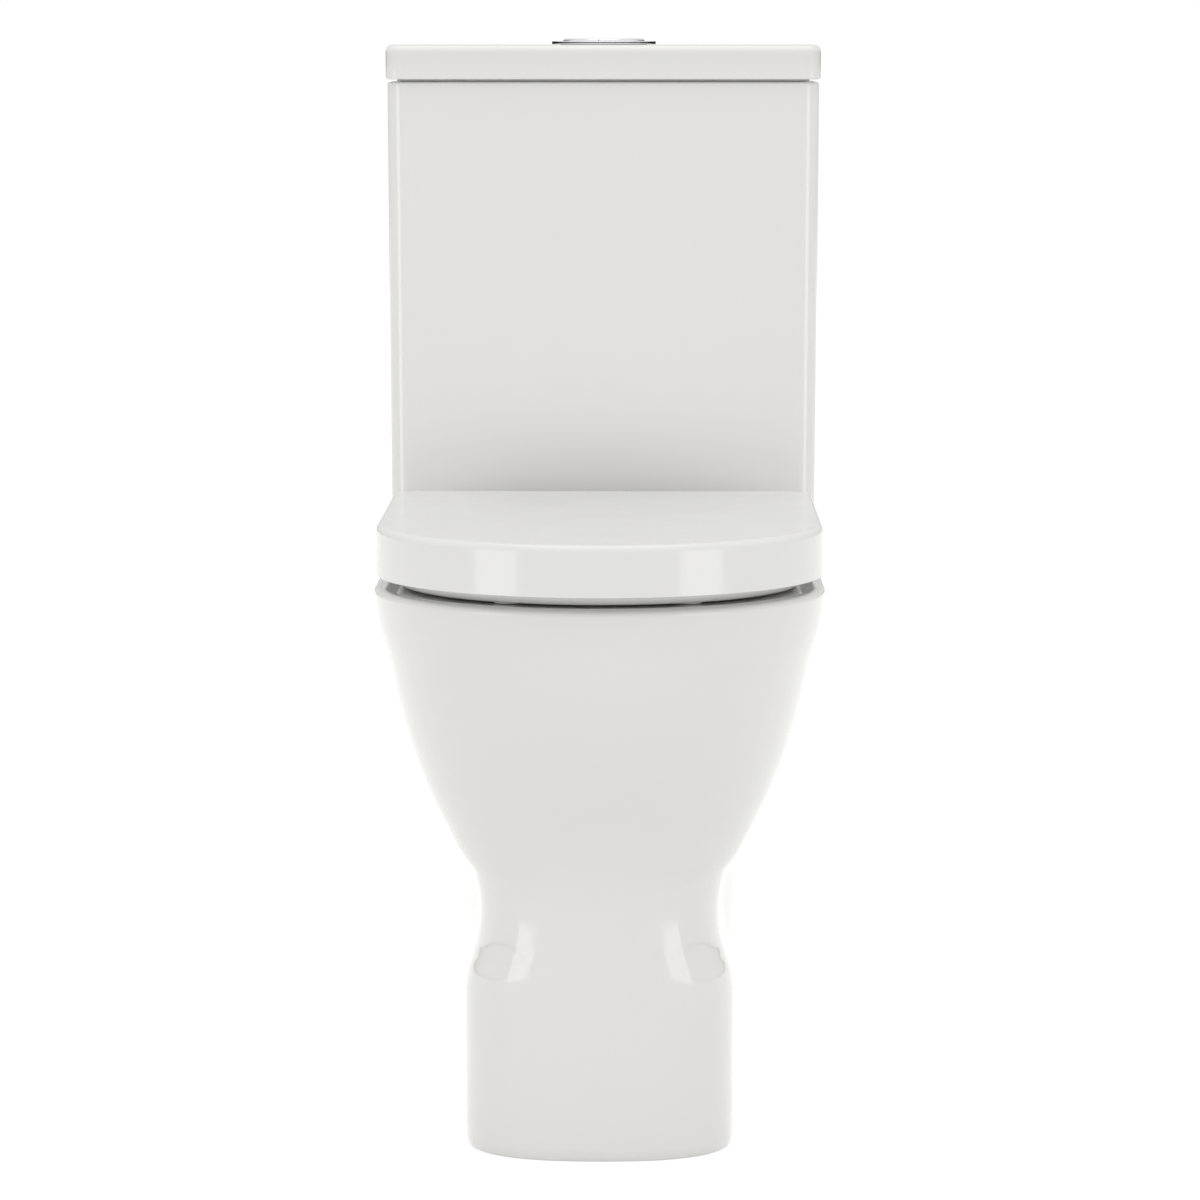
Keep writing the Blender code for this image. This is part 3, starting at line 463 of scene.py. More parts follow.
def round_box(low: Point3, high: Point3, radius: float, steps: int = 4, upright: float = 0.0,
              taper: Point3 = (0.0, 0.0, 0.0)) -> bmesh.types.BMesh:
    """A box with round edges.

    Args:
        low: its lowest corner.
        high: its highest corner.
        radius: the rounding of the top and bottom edges.
        steps: faces across each rounding.
        upright: the rounding of the upright edges, if it differs.
        taper: how far the foot is drawn in at the sides, at the front and at the back.

    Returns:
        The closed shape.
    """
    bm = bmesh.new()
    bmesh.ops.create_cube(bm, size=2.0)
    side, front, back = taper
    for vert in bm.verts:
        foot = vert.co.z < 0
        x = low[0] if vert.co.x < 0 else high[0]
        y = low[1] if vert.co.y < 0 else high[1]
        if foot:
            x += side if vert.co.x < 0 else -side
            y += front if vert.co.y < 0 else -back
        vert.co = Vector((x, y, low[2] if foot else high[2]))
    if upright:
        edges = [e for e in bm.edges if abs(e.verts[0].co.z - e.verts[1].co.z) > 1e-6]
        bmesh.ops.bevel(bm, geom=edges, offset=upright, segments=steps * 3, profile=0.5, affect="EDGES")
    if radius:
        edges = [e for e in bm.edges if e.calc_face_angle(0.0) > math.radians(60)]
        bmesh.ops.bevel(bm, geom=edges, offset=radius, segments=steps, profile=0.5, affect="EDGES")
    return bm


def drum(radius: float, z0: float, z1: float, rounding: float = 0.0, steps: int = 48
         ) -> bmesh.types.BMesh:
    """A solid cylinder on the upright axis, its edges rounded by rounding."""
    profile = [(0.0, z1), (radius, z1), (radius, z0), (0.0, z0)]
    if rounding:
        profile = fillet(profile, rounding, closed=False)
    return revolve(profile, steps, closed=False)


def collar(inner: float, outer: float, z0: float, z1: float, rounding: float = 0.0006,
           steps: int = 64) -> bmesh.types.BMesh:
    """A ring on the upright axis, its edges rounded by rounding."""
    return revolve(fillet([(outer, z1), (outer, z0), (inner, z0), (inner, z1)], rounding, 3), steps)


def hexagon(radius: float, z0: float, z1: float) -> bmesh.types.BMesh:
    """A hexagonal prism on the upright axis, with eased edges."""
    bm = bmesh.new()
    bmesh.ops.create_cone(bm, cap_ends=True, segments=6, radius1=radius, radius2=radius, depth=z1 - z0)
    bmesh.ops.translate(bm, vec=(0, 0, (z0 + z1) / 2), verts=bm.verts)
    bmesh.ops.bevel(bm, geom=list(bm.edges), offset=radius * 0.07, segments=3, profile=0.5,
                    affect="EDGES")
    return bm


def to(x: float, y: float, z: float = 0.0) -> Matrix:
    """Returns a shift to a point."""
    return Matrix.Translation((x, y, z))


def along_x(x: float, y: float, z: float, side: int = 1) -> Matrix:
    """Returns the placing that lays an upright shape along X at a point, towards side."""
    return Matrix.Translation((x, y, z)) @ Matrix.Rotation(side * math.pi / 2, 4, "Y")


def along_y(point: Vector) -> Matrix:
    """Returns the placing that lays an upright shape along -Y at a point."""
    return Matrix.Translation(point) @ Matrix.Rotation(math.pi / 2, 4, "X")


@dataclass(frozen=True)
class Span:
    """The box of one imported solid."""

    low: Vector
    high: Vector

    @classmethod
    def of(cls, node: str) -> "Span":
        """Returns the box of a node."""
        return cls(*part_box(node))

    @property
    def middle(self) -> Vector:
        """The box's centre."""
        return (self.low + self.high) / 2

    @property
    def radius(self) -> float:
        """Half the box's wider plan side."""
        return max(self.high.x - self.low.x, self.high.y - self.low.y) / 2

    @property
    def stand(self) -> Matrix:
        """The shift from the upright axis to the box's axis."""
        return to(self.middle.x, self.middle.y)


def bored_nut(name: str, node: str, bore: float) -> bpy.types.Object:
    """Makes a hexagonal nut in a node's box.

    Args:
        name: the piece's name.
        node: the plain nut.
        bore: the radius of its hole.

    Returns:
        The nut, not yet dressed.
    """
    box = Span.of(node)
    nut = piece(name, hexagon(box.radius, box.low.z, box.high.z), box.stand)
    return carve(nut, [piece("bore", drum(bore, box.low.z - 0.01, box.high.z + 0.01), box.stand)])


# ---------------------------------------------------------------- repeated detail
class RepeatKind(Enum):
    """What a repeat tree makes."""

    THREAD = "screw_thread"
    RIBS = "grip_ribs"


@dataclass(frozen=True)
class Repeat:
    """Geometry Nodes that run a thread round a shank or set ribs round a rim."""

    kind: RepeatKind

    def tree(self) -> bpy.types.NodeTree:
        """Returns the tree, built on first use."""
        found = bpy.data.node_groups.get(self.kind.value)
        if found:
            return found
        tree = bpy.data.node_groups.new(self.kind.value, "GeometryNodeTree")
        labels = {RepeatKind.THREAD: ("Radius", "Pitch", "Depth"),
                  RepeatKind.RIBS: ("Radius", "Width", "Depth", "Height")}[self.kind]
        for label in labels:
            tree.interface.new_socket(label, in_out="INPUT", socket_type="NodeSocketFloat")
        tree.interface.new_socket("Count", in_out="INPUT", socket_type="NodeSocketFloat")
        tree.interface.new_socket("Finish", in_out="INPUT", socket_type="NodeSocketMaterial")
        tree.interface.new_socket("Geometry", in_out="OUTPUT", socket_type="NodeSocketGeometry")
        entry, leave = tree.nodes.new("NodeGroupInput"), tree.nodes.new("NodeGroupOutput")
        if self.kind is RepeatKind.THREAD:
            shape = self._thread(tree, entry)
        else:
            shape = self._ribs(tree, entry)
        realize, paint = tree.nodes.new("GeometryNodeRealizeInstances"), tree.nodes.new(
            "GeometryNodeSetMaterial")
        tree.links.new(shape, realize.inputs["Geometry"])
        tree.links.new(realize.outputs["Geometry"], paint.inputs["Geometry"])
        tree.links.new(entry.outputs["Finish"], paint.inputs["Material"])
        tree.links.new(paint.outputs["Geometry"], leave.inputs["Geometry"])
        return tree

    @staticmethod
    def _thread(tree: bpy.types.NodeTree, entry: bpy.types.Node) -> bpy.types.NodeSocket:
        """Adds the nodes of a helical ridge and returns its output."""
        new, link = tree.nodes.new, tree.links.new
        helix, lift = new("GeometryNodeCurveSpiral"), new("ShaderNodeMath")
        lift.operation = "MULTIPLY"
        helix.inputs["Resolution"].default_value = 28
        link(entry.outputs["Radius"], helix.inputs["Start Radius"])
        link(entry.outputs["Radius"], helix.inputs["End Radius"])
        link(entry.outputs["Count"], helix.inputs["Rotations"])
        link(entry.outputs["Pitch"], lift.inputs[0])
        link(entry.outputs["Count"], lift.inputs[1])
        link(lift.outputs["Value"], helix.inputs["Height"])
        upright, ridge = new("GeometryNodeSetCurveNormal"), new("GeometryNodeCurvePrimitiveCircle")
        upright.mode = "Z_UP"
        ridge.inputs["Resolution"].default_value = 4
        link(helix.outputs["Curve"], upright.inputs["Curve"])
        link(entry.outputs["Depth"], ridge.inputs["Radius"])
        sweep = new("GeometryNodeCurveToMesh")
        sweep.inputs["Fill Caps"].default_value = True
        link(upright.outputs["Curve"], sweep.inputs["Curve"])
        link(ridge.outputs["Curve"], sweep.inputs["Profile Curve"])
        return sweep.outputs["Mesh"]

    @staticmethod
    def _ribs(tree: bpy.types.NodeTree, entry: bpy.types.Node) -> bpy.types.NodeSocket:
        """Adds the nodes of a ring of upright ribs and returns its output."""
        new, link = tree.nodes.new, tree.links.new
        circle, whole = new("GeometryNodeMeshCircle"), new("FunctionNodeFloatToInt")
        link(entry.outputs["Count"], whole.inputs[0])
        link(whole.outputs[0], circle.inputs["Vertices"])
        link(entry.outputs["Radius"], circle.inputs["Radius"])
        size, cube = new("ShaderNodeCombineXYZ"), new("GeometryNodeMeshCube")
        for axis, label in (("X", "Depth"), ("Y", "Width"), ("Z", "Height")):
            link(entry.outputs[label], size.inputs[axis])
        link(size.outputs["Vector"], cube.inputs["Size"])
        place, aim = new("GeometryNodeInputPosition"), new("FunctionNodeAlignEulerToVector")
        aim.axis = "X"
        aim.pivot_axis = "Z"
        link(place.outputs["Position"], aim.inputs["Vector"])
        spread = new("GeometryNodeInstanceOnPoints")
        link(circle.outputs["Mesh"], spread.inputs["Points"])
        link(cube.outputs["Mesh"], spread.inputs["Instance"])
        link(aim.outputs["Rotation"], spread.inputs["Rotation"])
        return spread.outputs["Instances"]

    def make(self, name: str, finish: Finish, move: Matrix, **sizes: float) -> bpy.types.Object:
        """Runs the tree and returns its result as a plain mesh object.

        Args:
            name: the object's name.
            finish: its surface.
            move: the placing, taken into the mesh.
            sizes: the tree's inputs, by name.

        Returns:
            The new object.
        """
        tree = self.tree()
        obj = bpy.data.objects.new(name, bpy.data.meshes.new(name))
        bpy.context.scene.collection.objects.link(obj)
        modifier = obj.modifiers.new("repeat", "NODES")
        modifier.node_group = tree
        for item in tree.interface.items_tree:
            if item.in_out == "INPUT" and item.name in sizes:
                modifier[item.identifier] = float(sizes[item.name])
            if item.in_out == "INPUT" and item.name == "Finish":
                modifier[item.identifier] = finish.material()
        settle(obj)
        obj.data.transform(move)
        return obj


THREAD = Repeat(RepeatKind.THREAD)
RIBS = Repeat(RepeatKind.RIBS)


# ---------------------------------------------------------------- pan
@dataclass
class Pan:
    """The ceramic pan: foot, waist, bowl, deck, shelf, trapway and spigot."""

    wall: float = 0.010
    deck: float = 0.022
    edge: float = 0.006
    foot_power: float = 2.5
    past: float = 0.03
    trap_radius: float = 0.038
    trap_bore: float = 0.029
    trap_bend: float = 0.045
    trap_rise: float = 0.0774
    trap_fall: float = 0.0427
    spigot_radius: float = 0.050
    spigot_bore: float = 0.040
    spigot_y: float = 0.202
    outlet: Point2 = (0.260, 0.180)
    sump_z: float = 0.150
    cap_seat: float = 0.0093
    inlet: float = 0.040
    passage: tuple[Point3, Point3] = ((-0.035, 0.010, 0.362), (0.035, 0.266, 0.402))
    # height, nose, half width, shoulder, rear half width, taper from, taper to, back
    sections: tuple[tuple[float, ...], ...] = (
        (0.000, -0.2213, 0.1023, -0.145, 0.1054, -0.145, -0.02, 0.1505),
        (0.004, -0.2228, 0.1038, -0.145, 0.1069, -0.145, -0.02, 0.152),
        (0.070, -0.2235, 0.1043, -0.145, 0.1075, -0.145, -0.02, 0.152),
        (0.122, -0.2235, 0.1047, -0.145, 0.1080, -0.145, -0.02, 0.152),
        (0.136, -0.2234, 0.1030, -0.145, 0.1082, -0.145, -0.02, 0.153),
        (0.151, -0.2231, 0.0985, -0.145, 0.1084, -0.145, -0.02, 0.155),
        (0.166, -0.2227, 0.0946, -0.145, 0.1085, -0.145, -0.02, 0.157),
        (0.185, -0.2225, 0.0931, -0.145, 0.1086, -0.145, -0.02, 0.160),
        (0.213, -0.2240, 0.0975, -0.142, 0.1090, -0.142, -0.02, 0.167),
        (0.226, -0.2265, 0.1070, -0.140, 0.1105, -0.130, -0.01, 0.172),
        (0.250, -0.2345, 0.1200, -0.138, 0.1150, -0.120, 0.00, 0.185),
        (0.281, -0.2500, 0.1350, -0.135, 0.1150, -0.090, 0.03, 0.203),
        (0.313, -0.2660, 0.1470, -0.133, 0.1150, -0.060, 0.06, 0.224),
        (0.344, -0.2785, 0.1560, -0.130, 0.1150, -0.030, 0.08, 0.246),
        (0.376, -0.2870, 0.1630, -0.130, 0.1150, -0.010, 0.10, 0.268),
        (0.409, -0.2925, 0.1720, -0.130, 0.1150, 0.000, 0.11, 0.290),
        (0.430, -0.2950, 0.1750, -0.130, 0.1150, 0.000, 0.11, 0.298),
    )
    # height, front, back, half width
    bowl_sections: tuple[tuple[float, ...], ...] = (
        (0.121, -0.0800, -0.0350, 0.0240),
        (0.130, -0.0900, -0.0250, 0.0340),
        (0.165, -0.1050, -0.0150, 0.0440),
        (0.205, -0.1250, -0.0080, 0.0540),
        (0.245, -0.1650, 0.0050, 0.0740),
        (0.285, -0.2080, 0.0200, 0.1000),
        (0.330, -0.2400, 0.0330, 0.1210),
        (0.380, -0.2540, 0.0400, 0.1320),
        (0.420, -0.2550, 0.0400, 0.1330),
        (0.430, -0.2545, 0.0395, 0.1325),
    )

    def __post_init__(self) -> None:
        """Reads the deck's height from the frame."""
        self.top = Span.of("pan_deck").high.z
        self.deck_under = self.top - self.deck

    def _outline(self, row: np.ndarray, grow: float = 0.0, past: float = 0.0, fine: bool = True
                 ) -> Outline:
        """Returns the plan outline of one section row, grown by grow and run past the back."""
        z, nose, half, shoulder, rear_half, start, end, back = (float(v) for v in row)
        power = self.foot_power + (2.0 - self.foot_power) * smooth_step((z - 0.15) / 0.10)
        steps = (40, 32, 10) if fine else (20, 16, 5)
        return Outline(nose - grow, half + grow, shoulder, back + past + grow, rear_half + grow,
                       (start, end), 0.02, power, *steps)

    def _outer(self) -> bpy.types.Object:
        """The outer form, solid, with a round rim and an eased foot."""
        rows = np.array(self.sections)
        heights = np.concatenate([np.linspace(0.0, 0.128, 26), np.linspace(0.130, 0.160, 21),
                                  np.linspace(0.165, 0.430, 62)])
        loops = []
        foot = fair_rows(rows, np.array([0.0]))[0]
        for i in range(3):
            a = math.pi / 2 * i / 3
            loops.append(self._outline(foot, -0.0015 * (1 - math.sin(a))).at(0.0015 * (1 - math.cos(a))))
        for row in fair_rows(rows, heights[1:]):
            loops.append(self._outline(row).at(float(row[0])))
        rim = fair_rows(rows, np.array([0.430]))[0]
        for i in range(1, 9):
            a = math.pi / 2 * i / 8
            loops.append(self._outline(rim, -self.edge * (1 - math.cos(a))).at(
                self.top - self.edge * (1 - math.sin(a))))
        return piece("china_pan", skin(loops))

    def _hollow(self) -> bpy.types.Object:
        """The space under the shelf and in the foot, open below and behind."""
        rows = np.array(self.sections)
        heights = np.concatenate([np.linspace(0.004, 0.128, 8), np.linspace(0.132, 0.160, 8),
                                  np.linspace(0.170, 0.408, 18)])
        loops = [self._outline(rows[0], -self.wall, self.past, False).at(-self.past)]
        for row in fair_rows(rows, heights):
            loops.append(self._outline(row, -self.wall, self.past, False).at(float(row[0])))
        last = self._outline(fair_rows(rows, np.array([0.412]))[0], -self.wall, self.past, False)
        loops.append(last.at(self.deck_under))
        return piece("hollow", skin(loops))

    def _bowl(self, grow: float, steps: int = 96) -> bpy.types.Object:
        """The bowl's inside, or its outside when grown by the wall."""
        rows = fair_rows(np.array(self.bowl_sections), np.linspace(0.121, 0.430, 48))
        loops = []
        for z, front, back, half in rows:
            loops.append(self._oval(front, back, half, grow, z - grow, steps))
        if not grow:
            _, front, back, half = rows[-1]
            for i in range(1, 8):
                a = math.radians(86) * i / 7
                flare = self.edge * (1 - math.cos(a))
                loops.append(self._oval(front, back, half, flare, 0.430 + self.edge * math.sin(a), steps))
            flare = self.edge
            loops.append(self._oval(front, back, half, flare, self.top + 0.01, steps))
        return piece("bowl", skin(loops))

    @staticmethod
    def _oval(front: float, back: float, half: float, grow: float, z: float, steps: int
              ) -> list[Point3]:
        """Returns one oval of the bowl at height z."""
        middle, reach = (front + back) / 2, (back - front) / 2 + grow
        angles = [2 * math.pi * i / steps for i in range(steps)]
        return [((half + grow) * math.sin(a), middle - reach * math.cos(a), float(z)) for a in angles]

    def _trap_path(self, end: float) -> list[Point2]:
        """Returns the trap's centre line: out of the sump, over the weir and down to the spigot."""
        bend = self.trap_bend
        turns = ((60.0, self.trap_rise), (-120.0, self.trap_fall), (60.0, 0.0))
        path, heading = [(-0.065, self.sump_z), (-0.014, self.sump_z)], 0.0
        for degrees, run in turns:
            side, sweep = math.copysign(1, degrees), math.radians(degrees)
            y, z = path[-1]
            cy, cz = y - side * bend * math.sin(heading), z + side * bend * math.cos(heading)
            count = int(abs(degrees) / 5)
            for i in range(1, count + 1):
                a = heading + sweep * i / count
                path.append((cy + side * bend * math.sin(a), cz - side * bend * math.cos(a)))
            heading += sweep
            if run:
                y, z = path[-1]
                path.append((y + run * math.cos(heading), z + run * math.sin(heading)))
        path[-1] = (path[-1][0], self.outlet[1])
        return path + [(end, self.outlet[1])]

    @staticmethod
    def _pipe(path: list[Point2], radius: float, steps: int = 48) -> bpy.types.Object:
        """Returns a round bar along a path in the middle plane."""
        loops = []
        for i, (y, z) in enumerate(path):
            before, after = path[max(i - 1, 0)], path[min(i + 1, len(path) - 1)]
            lean = math.atan2(after[1] - before[1], after[0] - before[0])
            ring = [2 * math.pi * k / steps for k in range(steps)]
            loops.append([(radius * math.cos(a), y - radius * math.sin(a) * math.sin(lean),
                           z + radius * math.sin(a) * math.cos(lean)) for a in ring])
        return piece("pipe", skin(loops))

    def _spigot(self) -> bpy.types.Object:
        """The outlet spigot, a ring with a round lip and a shoulder into the trap."""
        end, z = self.outlet
        profile = fillet([(0.0, end - 0.010), (self.spigot_radius, end - 0.010),
                          (self.spigot_radius, self.spigot_y), (0.0, self.spigot_y)], 0.004, 4, False)
        lip = fillet([(self.spigot_radius, end), (self.spigot_radius, end - 0.012),
                      (self.spigot_bore - 0.002, end - 0.012), (self.spigot_bore - 0.002, end)], 0.003, 4)
        back = to(0.0, 0.0, z) @ Matrix.Rotation(-math.pi / 2, 4, "X")
        body = piece("spigot", revolve(profile, 72, closed=False), back)
        return carve(body, [piece("lip", revolve(lip, 72), back)], "UNION")

    def _tools(self) -> list[bpy.types.Object]:
        """Makes everything that is cut out of the joined casting."""
        end, z = self.outlet
        valve = Span.of("overflow_tube").middle
        passage = round_box(*self.passage, 0.012, 5)
        mouth = [(self.spigot_y + self.wall, z), (end + 0.01, z)]
        tools = [self._bowl(0.0), self._pipe(self._trap_path(end + 0.01), self.trap_bore),
                 self._pipe(mouth, self.spigot_bore), piece("passage", passage),
                 piece("inlet", drum(self.inlet, 0.380, self.top + 0.01), to(valve.x, valve.y))]
        under, over = self.deck_under - 0.01, self.top + 0.01
        for tag, side in SIDES:
            bolt, stud = Span.of(f"coupling_bolt_{tag}").middle, Span.of(f"hinge_stud_{tag}").middle
            screw = Span.of(f"side_screw_{tag}").middle
            tools.append(piece("hole", drum(0.006, under, over, steps=32), to(bolt.x, bolt.y)))
            tools.append(piece("hole", drum(0.007, under, over, steps=32), to(stud.x, stud.y)))
            cap = Span.of(f"side_cap_{tag}")
            tools.append(piece("hole", drum(0.003, -0.02, 0.02, steps=24),
                               along_x(cap.middle.x, screw.y, screw.z)))
            inner = cap.low.x - POSE_GAP if side > 0 else cap.high.x + POSE_GAP
            place = along_x(inner, screw.y, screw.z, side)
            tools.append(piece("recess", drum(self.cap_seat, 0.0, 0.02), place))
        return tools

    def build(self) -> None:
        """Makes the pan."""
        pan = self._outer()
        carve(pan, [self._hollow()])
        duct = round_box((-0.045, 0.030, 0.352), (0.045, 0.276, self.deck_under + 0.004), 0.004)
        trap = self._pipe(self._trap_path(self.spigot_y + 0.01), self.trap_radius)
        carve(pan, [self._bowl(self.wall), trap, self._spigot(), piece("duct", duct)], "UNION")
        carve(pan, self._tools())
        dress(pan, GLAZE, "root", "pan_skirt", "pan_deck", "pan_bowl", "pan_sump", "pan_trapway")


# ---------------------------------------------------------------- cistern
@dataclass
class Cistern:
    """The tank, open at the top, with its outlet, inlet and bolt holes."""

    wall: float = 0.010
    upright: float = 0.014
    lip: float = 0.0025

    def build(self) -> None:
        """Makes the tank."""
        span = Span.of("cistern")
        low, high = span.low, span.high
        taper = (0.0018, 0.0030, 0.0)
        tank = piece("tank", round_box(low, high, self.lip, 4, self.upright, taper))
        inside_low = (low.x + self.wall, low.y + self.wall, low.z + self.wall)
        inside_high = (high.x - self.wall, high.y - self.wall, high.z + 0.03)
        inside = round_box(inside_low, inside_high, 0.006, 4, 0.008, taper)
        tools = [piece("inside", inside)]
        valve, fill = Span.of("flush_valve_body").middle, Span.of("fill_valve_body").middle
        under, over = low.z - 0.01, low.z + self.wall + 0.01
        tools.append(piece("hole", drum(0.0325, under, over), to(valve.x, valve.y)))
        tools.append(piece("hole", drum(0.0112, under, over), to(fill.x, fill.y)))
        for tag, _ in SIDES:
            bolt = Span.of(f"coupling_bolt_{tag}").middle
            tools.append(piece("hole", drum(0.006, under, over, steps=32), to(bolt.x, bolt.y)))
        carve(tank, tools)
        dress(tank, GLAZE, "root", "cistern")


@dataclass
class CisternLid:
    """The lift-off lid: a tray with a shadow gap, a bearing step and a locating lip."""

    edge: float = 0.0055
    corner: float = 0.012
    roof: float = 0.010
    skirt_z: float = 0.8215
    lip_width: float = 0.166
    groove: float = 0.0090

    def build(self) -> None:
        """Makes the lid."""
        span = Span.of("cistern_lid")
        low, high = span.low, span.high
        lid = piece("tank_cover", round_box((low.x, low.y, self.skirt_z), high, 0.0, 5, self.corner))
        bevelled = bmesh.new()
        bevelled.from_mesh(lid.data)
        for z, size, steps in ((high.z, self.edge, 8), (self.skirt_z, 0.0012, 3)):
            rim = [e for e in bevelled.edges if all(abs(v.co.z - z) < 1e-6 for v in e.verts)]
            bmesh.ops.bevel(bevelled, geom=rim, offset=size, segments=steps, profile=0.5, affect="EDGES")
        bevelled.to_mesh(lid.data)
        bevelled.free()
        groove = self.groove
        step_low = (low.x + groove, low.y + groove + 0.004, Span.of("cistern").high.z + POSE_GAP)
        step = round_box(step_low, (high.x - groove, high.y - groove, self.skirt_z + 0.002), 0.0, 3, 0.008)
        lip = round_box((-self.lip_width, 0.1630, low.z), (self.lip_width, 0.2960, self.skirt_z + 0.006),
                        0.0015, 3, 0.008)
        carve(lid, [piece("step", step), piece("lip", lip)], "UNION")
        recess = round_box((-0.1580, 0.1710, low.z - 0.02), (0.1580, 0.2880, high.z - self.roof), 0.003, 4,
                           0.006)
        valve = Span.of("button_bezel").middle
        hole = piece("hole", drum(0.0370, 0.83, high.z + 0.01, steps=96), to(valve.x, valve.y))
        carve(lid, [piece("recess", recess), hole])
        dress(lid, GLAZE, "tank_lid", "cistern_lid")


# ---------------------------------------------------------------- dual flush button
@dataclass
class FlushButton:
    """The chrome button: bezel, ribbed nut, two caps and their push rods."""

    split: float = -0.0037
    slit: float = 0.0005
    barrel: float = 0.0365
    opening: float = 0.0345
    crown: float = 0.0009
    cap_round: float = 0.0015

    def build(self) -> None:
        """Makes every piece of the button."""
        self._bezel()
        self._nut()
        for name, side in (("full_flush", 1), ("half_flush", -1)):
            self._cap(name, side)
            self._rod(name)

    def _bezel(self) -> None:
        """The flange and its threaded barrel."""
        span = Span.of("button_bezel")
        top, bottom, flange = span.high.z + self.crown, span.low.z, span.radius
        under = Span.of("cistern_lid").high.z + POSE_GAP
        profile = fillet([(flange, top), (flange, under), (self.barrel, under),
                          (self.barrel, bottom), (self.opening, bottom), (self.opening, top - 0.0012),
                          (self.opening + 0.0012, top)], 0.0003, 4)
        bezel = piece("flush_bezel", revolve(profile, 128), span.stand)
        thread = THREAD.make("thread", CHROME, to(span.middle.x, span.middle.y, bottom + 0.002),
                             Radius=self.barrel - 0.0001, Pitch=0.0015, Depth=0.0003, Count=4.0)
        dress(join_meshes(bezel, thread), CHROME, "tank_lid", "button_bezel")

    def _nut(self) -> None:
        """The plastic ring nut under the lid, with grip ribs."""
        span = Span.of("button_nut")
        outer = span.radius - 0.0012
        nut = piece("bezel_nut", collar(0.0369, outer, span.low.z, span.high.z), span.stand)
        ribs = RIBS.make("ribs", VALVE, to(*span.middle), Radius=outer, Width=0.0022, Depth=0.0020,
                         Height=span.high.z - span.low.z - 0.0008, Count=24.0)
        dress(join_meshes(nut, ribs), VALVE, "tank_lid", "button_nut")

    def _cap(self, name: str, side: int) -> None:
        """One half of the round cap, with eased edges.

        Args:
            name: the flush that it gives.
            side: 1 for the half on the right, -1 for the left.
        """
        node = f"{name}_button"
        span, centre = Span.of(node), Span.of("button_bezel").middle
        radius = 0.0342
        cut = self.split + side * self.slit
        start = math.acos(max(min(side * cut / radius, 1.0), -1.0))
        outline = []
        for i in range(65):
            a = -start + 2 * start * i / 64
            outline.append((side * radius * math.cos(a), side * radius * math.sin(a)))
        bm = bmesh.new()
        base = bm.faces.new([bm.verts.new((x, y, span.low.z)) for x, y in outline])
        lifted = bmesh.ops.extrude_face_region(bm, geom=[base])["geom"]
        rise = [v for v in lifted if isinstance(v, bmesh.types.BMVert)]
        bmesh.ops.translate(bm, vec=(0, 0, span.high.z - span.low.z), verts=rise)
        edges = [e for e in bm.edges if all(abs(v.co.z - span.high.z) < 1e-6 for v in e.verts)]
        bmesh.ops.bevel(bm, geom=edges, offset=self.cap_round, segments=6, profile=0.5, affect="EDGES")
        cap = piece(f"{name}_cap", bm, to(centre.x, centre.y))
        dress(cap, CHROME, name, node, crease=30.0)

    def _rod(self, name: str) -> None:
        """A push rod with a screw-adjusted end."""
        node = f"{name}_rod"
        span = Span.of(node)
        rod = piece(f"{name}_pushrod", drum(0.0021, span.low.z, span.high.z, 0.0005, 24), span.stand)
        turns = (span.high.z - span.low.z - 0.010) / 0.0012
        thread = THREAD.make("thread", VALVE, to(span.middle.x, span.middle.y, span.low.z + 0.005),
                             Radius=0.0020, Pitch=0.0012, Depth=0.00045, Count=turns)
        dress(join_meshes(rod, thread), VALVE, name, node)


